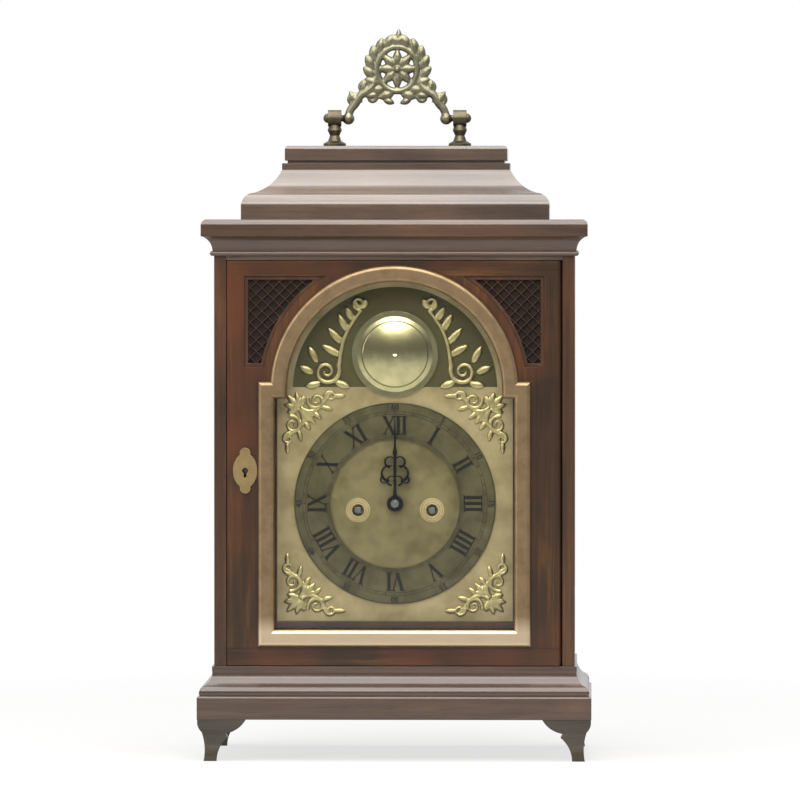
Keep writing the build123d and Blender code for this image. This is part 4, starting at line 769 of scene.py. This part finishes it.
hand = bmesh.new()
flat_ring(hand, (0, 0, 0), 4.9 * mm, 2.2 * mm, 32)
ribbon(hand, [(0, 4.8), (0, 12), (0, 17.5)], [3.0, 1.9, 2.4])
for side in (1, -1):
    bow(hand, side * 4.2, 22.5, 5.6, 270, side * 200, 20, 2.2, 1.0)
    bow(hand, side * 3.6, 31.0, 3.8, 270, side * 230, 18, 1.9, 0.9)
    bow(hand, side * 8.2, 17.6, 2.4, 90, -side * 250, 14, 1.5, 0.8)
ribbon(hand, [(0, 17), (0, 26), (0, 33), (0, 38), (0, 44)], [1.5, 2.2, 1.4, 3.6, 0.3])
finish_hand(hand, "hour_hand_scrolled", "hour_hand")


# The minute hand is of the same blued steel: a long blade over one small pierced leaf. It stands
# in front of the hour hand on the square of the cannon wheel.
hand = bmesh.new()
flat_ring(hand, (0, 0, 0), 3.9 * mm, 2.0 * mm, 28)
ribbon(hand, [(0, 3.8), (0, 10), (0, 14)], [2.4, 1.5, 1.8])
for side in (1, -1):
    bow(hand, side * 2.3, 17.0, 3.4, 270, side * 210, 16, 1.6, 0.8)
ribbon(hand, [(0, 14), (0, 20), (0, 26), (0, 44), (0, 66)], [1.1, 2.0, 2.5, 1.6, 0.4])
finish_hand(hand, "minute_hand_blade", "minute_hand")


# The doors are framed in mahogany from rails and stiles: the grain turns where a rail meets a
# stile, and a hairline shows at the joint. Slips hold the glass, and frets are sawn from thin wood.
door_low, door_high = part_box("front_door")


def door_wood(name, bottom_rail, top_rail, seed):
    f = Finish(name)
    rail_low, rail_high = door_low[2] + bottom_rail, door_high[2] - top_rail
    pz = f.axes()[2]
    tones = (26, 15, 7), (56, 35, 16), (102, 66, 28)

    def plank(axis):
        base, pores, streak = sawn_board(f, axis, 0.14, 30.0, 1.6, (seed, 0.2, seed), *tones)
        return f.mix(pores * 0.55, base, colour(26, 16, 11)), streak

    stile, streak = plank("z")
    rail, _ = plank("x")
    framed = f.mix(pz.below(rail_low).most(pz.above(rail_high)), stile, rail)
    cloud = f.band(f.noise(11.0, 2.0, 0.5), 0.45, 0.62)
    warm = f.mix(cloud * 0.45, framed, colour(104, 54, 24))
    seam = 1.0 - f.band(abs(pz - rail_low), 0.1 * mm, 0.5 * mm)
    normal = f.bump(streak * 0.4 - seam, 0.00006, 0.35, f.rounded(0.8 * mm))
    return f.surface(Base_Color=f.mix(seam * 0.6, warm, colour(20, 12, 8)),
                     Roughness=0.32 + f.noise(60.0, 4.0) * 0.16, Coat_Weight=0.35, Coat_Roughness=0.14,
                     Specular_IOR_Level=0.3, Normal=normal)


dress(door_wood("mahogany_front_door", 13 * mm, 11 * mm, 0.4), "front_door")
dress(door_wood("mahogany_rear_door", 34 * mm, 34 * mm, 1.9), "rear_door")
dress(upright, "sound_frets", "glass_slips")


# Silk is pasted behind the frets to keep dust out and let the bell be heard. It is a plain weave,
# once red, now nearly black with dust.
def silk():
    f = Finish("dark_silk")
    px, _, pz = f.axes()
    threads = 9000.0
    weave = (px * threads).wave() * (pz * threads).wave()
    paint = f.mix(f.noise(70.0, 3.0), colour(40, 24, 15), colour(20, 13, 9))
    return f.surface(Base_Color=paint, Roughness=0.9, Sheen_Weight=0.3, Normal=f.bump(weave, 0.00008, 0.5))


dress(silk(), "fret_silk")


# A half-round brass moulding is pinned round the door's glass, warm in tone, with a painted highlight along
# its foot where its upward slope catches the light from above. The escutcheon is sawn from sheet and
# pinned.
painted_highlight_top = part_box("sight_moulding")[0][2] + 11.0 * mm
sight_brass = brass("sight_brass", (150, 127, 97), (104, 87, 64), 0.34,
                    painted_highlight_below=(painted_highlight_top, (206, 186, 156)))
dress(sight_brass, "sight_moulding")
dress(brass("escutcheon_brass", (168, 146, 104), (118, 102, 70), 0.34), "escutcheon")


# The carrying handle is a brass casting with scrolled arms, an oval wreath of leaves about a
# rosette, and a small leaf on top, painted grey olive and dark as brass looks in shade. It turns on
# trunnions in two turned posts of a darker brass.
trunnion = next(j for j in frame["joints"] if j["name"] == "handle_swing")["pos_m"]
handle_y, pivot_z = trunnion[1] / mm, trunnion[2] / mm
handle_end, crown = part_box("handle")[1][0] / mm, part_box("handle")[1][2] / mm
casting = bmesh.new()


def handle_leaf(x, z, length, width, lean, thick):
    leaf(casting, x, z, length, width, lean, handle_y, thick)


def handle_arm(side):
    """Trunnion, ball and rising arm of one side, with its scrolls and leaves."""
    def mirrored(angle):
        return angle if side > 0 else 180 - angle

    pin = [(side * x, pivot_z) for x in (handle_end - 0.4, 44, 38)]
    add_mesh(casting, cast_rod(pin, [2.5] * 3, handle_y))
    ball = 9.6
    handle_leaf(side * 36.7, pivot_z - 4.4, ball, ball, 90, ball / 2)
    arm = [(36.7, 0), (36.0, 6), (31.0, 11), (28.5, 17), (22.0, 20.5), (17.0, 25), (17.5, 31)]
    arm_radii = [3.4, 3.0, 3.4, 3.2, 3.4, 3.2, 2.2]
    add_mesh(casting, cast_rod([(side * x, pivot_z + z) for x, z in arm], arm_radii, handle_y))
    for x, z, radius, start, flip in ((33.0, 13.5, 5.2, 200, -1), (25.0, 23.0, 5.4, 230, -1),
                                      (19.0, 15.5, 4.2, 60, 1)):
        scroll = spiral(side * x, pivot_z + z, radius, 1.4, mirrored(start), 1.2, 20, flip * side)
        add_mesh(casting, cast_rod(scroll, tapered(2.2, 1.3, 21), handle_y))
    for x, z, lean, length in ((30.0, 10.0, 60, 13.0), (24.0, 18.0, 80, 12.0), (14.0, 18.0, -10, 11.0),
                               (10.0, 14.0, 200, 9.0)):
        handle_leaf(side * x, pivot_z + z, length, 5.2, mirrored(lean), 2.8)


def wreath():
    """An oval hoop with leaves that climb both its sides, and the rosette inside it."""
    middle = pivot_z + 37.0
    leaves, climb = 18, 62
    for i in range(leaves):
        angle = 360 * i / leaves
        across_share, up_share = cos(radians(angle)), sin(radians(angle))
        lean = angle + climb if across_share > 0 else angle - climb
        handle_leaf(18.0 * across_share, middle + 18.3 * up_share, 12.5, 7.6, lean, 2.9)
    turns = [2 * pi * i / 24 for i in range(25)]
    hoop = [(15.2 * cos(turn), middle + 16.8 * sin(turn)) for turn in turns]
    add_mesh(casting, cast_rod(hoop, [2.6] * 25, handle_y))
    for lean in range(0, 360, 45):
        handle_leaf(0.0, middle, 16.0, 7.6, lean, 3.2)
    handle_leaf(0.0, middle - 3.3, 6.6, 6.6, 90, 5.0)


handle_arm(1)
handle_arm(-1)
wreath()
for lean, length, drop in ((88, 13.0, 13.0), (55, 9.0, 14.5), (125, 9.0, 14.5)):
    handle_leaf(0.8, crown - drop, length, 5.2, lean, 2.6)
# The handle's colour is partly toned brass and partly painted shade: grey and dark, as it looks in shade.
shade_painted_handle_brass = brass("shade_painted_handle_brass", (130, 127, 106), (86, 83, 62), 0.32, 0.0, 0.6, 120.0)
fuse(casting, "handle_casting", "handle", shade_painted_handle_brass, 0.55 * mm, "handle")
dress(brass("post_brass", (96, 90, 74), (62, 58, 46), 0.34, 0.0, 0.6, 120.0), "handle_posts")


# The floor is a wide white sheet. It keeps only the clock's soft shadow, which fades out into
# the backdrop, and its reflection in the brass fades out too.
def white_stage():
    f = Finish("white_stage")
    px, py, _ = f.axes()
    out = (px * px + py * py) ** 0.5
    paint = f.node("ShaderNodeBsdfDiffuse", {}, {"Color": (0.80, 0.80, 0.79, 1.0)})
    glow = f.node("ShaderNodeEmission", {}, {"Color": (1.0, 1.0, 1.0, 1.0), "Strength": 1.0})
    camera_ray = f.node("ShaderNodeLightPath", {}, {}, "Is Camera Ray")
    mirror_ray = f.node("ShaderNodeLightPath", {}, {}, "Is Glossy Ray")
    seen = camera_ray * (0.72 + f.band(out, 0.25, 1.1) * 0.28)
    mirrored = mirror_ray * (0.5 - f.band(out, 1.5, 6.0) * 0.5)
    return f.close(f.node("ShaderNodeMixShader", {}, {"Fac": seen + mirrored, 1: paint, 2: glow}))


sheet = bmesh.new()
bmesh.ops.create_grid(sheet, x_segments=1, y_segments=1, size=30.0)
floor_mesh = bpy.data.meshes.new("floor")
sheet.to_mesh(floor_mesh)
sheet.free()
floor = bpy.data.objects.new("floor", floor_mesh)
floor_mesh.materials.append(white_stage())
bpy.context.scene.collection.objects.link(floor)


# The studio is plain white where the camera looks. Metal and glass see white behind and above
# the clock and a dimmer room in front of it, and the light that it gives is softer still.
def studio():
    f = Finish("studio", bpy.data.worlds)
    way = f.node("ShaderNodeTexCoord", {}, {}, "Generated")
    forward = f.node("ShaderNodeSeparateXYZ", {}, {"Vector": way}, "Y")
    upward = f.node("ShaderNodeSeparateXYZ", {}, {"Vector": way}, "Z")
    in_front = f.band(0.0 - forward, 0.15, 0.75) * (1.0 - f.band(upward * upward, 0.03, 0.20))

    def ray(kind):
        return f.node("ShaderNodeLightPath", {}, {}, f"Is {kind} Ray")

    def backdrop(tint, strength):
        return f.node("ShaderNodeBackground", {}, {"Color": (*tint, 1.0), "Strength": strength})

    white = backdrop((1.0, 1.0, 1.0), 1.0)
    soft = backdrop((0.93, 0.96, 1.0), 0.36)
    dim = backdrop((0.95, 0.92, 0.88), 0.15)
    mirror_ray = ray("Glossy")
    seen_white = ray("Camera").most(ray("Transmission")).most(mirror_ray)
    lit = f.node("ShaderNodeMixShader", {}, {"Fac": seen_white, 1: soft, 2: white})
    return f.close(f.node("ShaderNodeMixShader", {}, {"Fac": mirror_ray * in_front, 1: lit, 2: dim}))


bpy.context.scene.world = studio()


# Four soft boxes: a broad one overhead, a wide and a small one high in front that draw the
# highlights of the bell top and the boss, and one on the left that models the mouldings.
def lamp(name, place, aim_height, size, power):
    light = bpy.data.lights.new(name, "AREA")
    light.shape = "RECTANGLE"
    light.size, light.size_y = size
    light.energy = power
    light.color = (1.0, 0.97, 0.92)
    holder = bpy.data.objects.new(name, light)
    holder.location = place
    toward = Vector((0, 0, aim_height)) - Vector(place)
    holder.rotation_euler = toward.to_track_quat("-Z", "Y").to_euler()
    bpy.context.scene.collection.objects.link(holder)


lamp("overhead", (0.0, -0.15, 1.5), 0.35, (1.4, 1.0), 19.0)
lamp("front_top", (0.0, -1.05, 1.45), 0.35, (1.6, 0.8), 17.0)
lamp("front_high", (-0.05, -1.75, 1.20), 0.30, (0.75, 0.45), 8.0)
lamp("left_front", (-1.5, -1.1, 0.8), 0.28, (0.8, 1.1), 9.0)


# The camera stands far off with a long lens, because the photograph shows almost no perspective.
# It is a little to the right of the clock, at the height of its cornice.
distance, side_turn, eye_height = 6.0, radians(1.4), 0.40
target = Vector((0.0022, 0.0, 0.2655))
lens = bpy.data.cameras.new("camera")
lens.sensor_width = 36.0
lens.lens = 359.7
camera = bpy.data.objects.new("camera", lens)
camera.location = (distance * sin(side_turn), -distance * cos(side_turn), eye_height)
camera.rotation_euler = (target - camera.location).to_track_quat("-Z", "Y").to_euler()
bpy.context.scene.collection.objects.link(camera)
bpy.context.scene.camera = camera
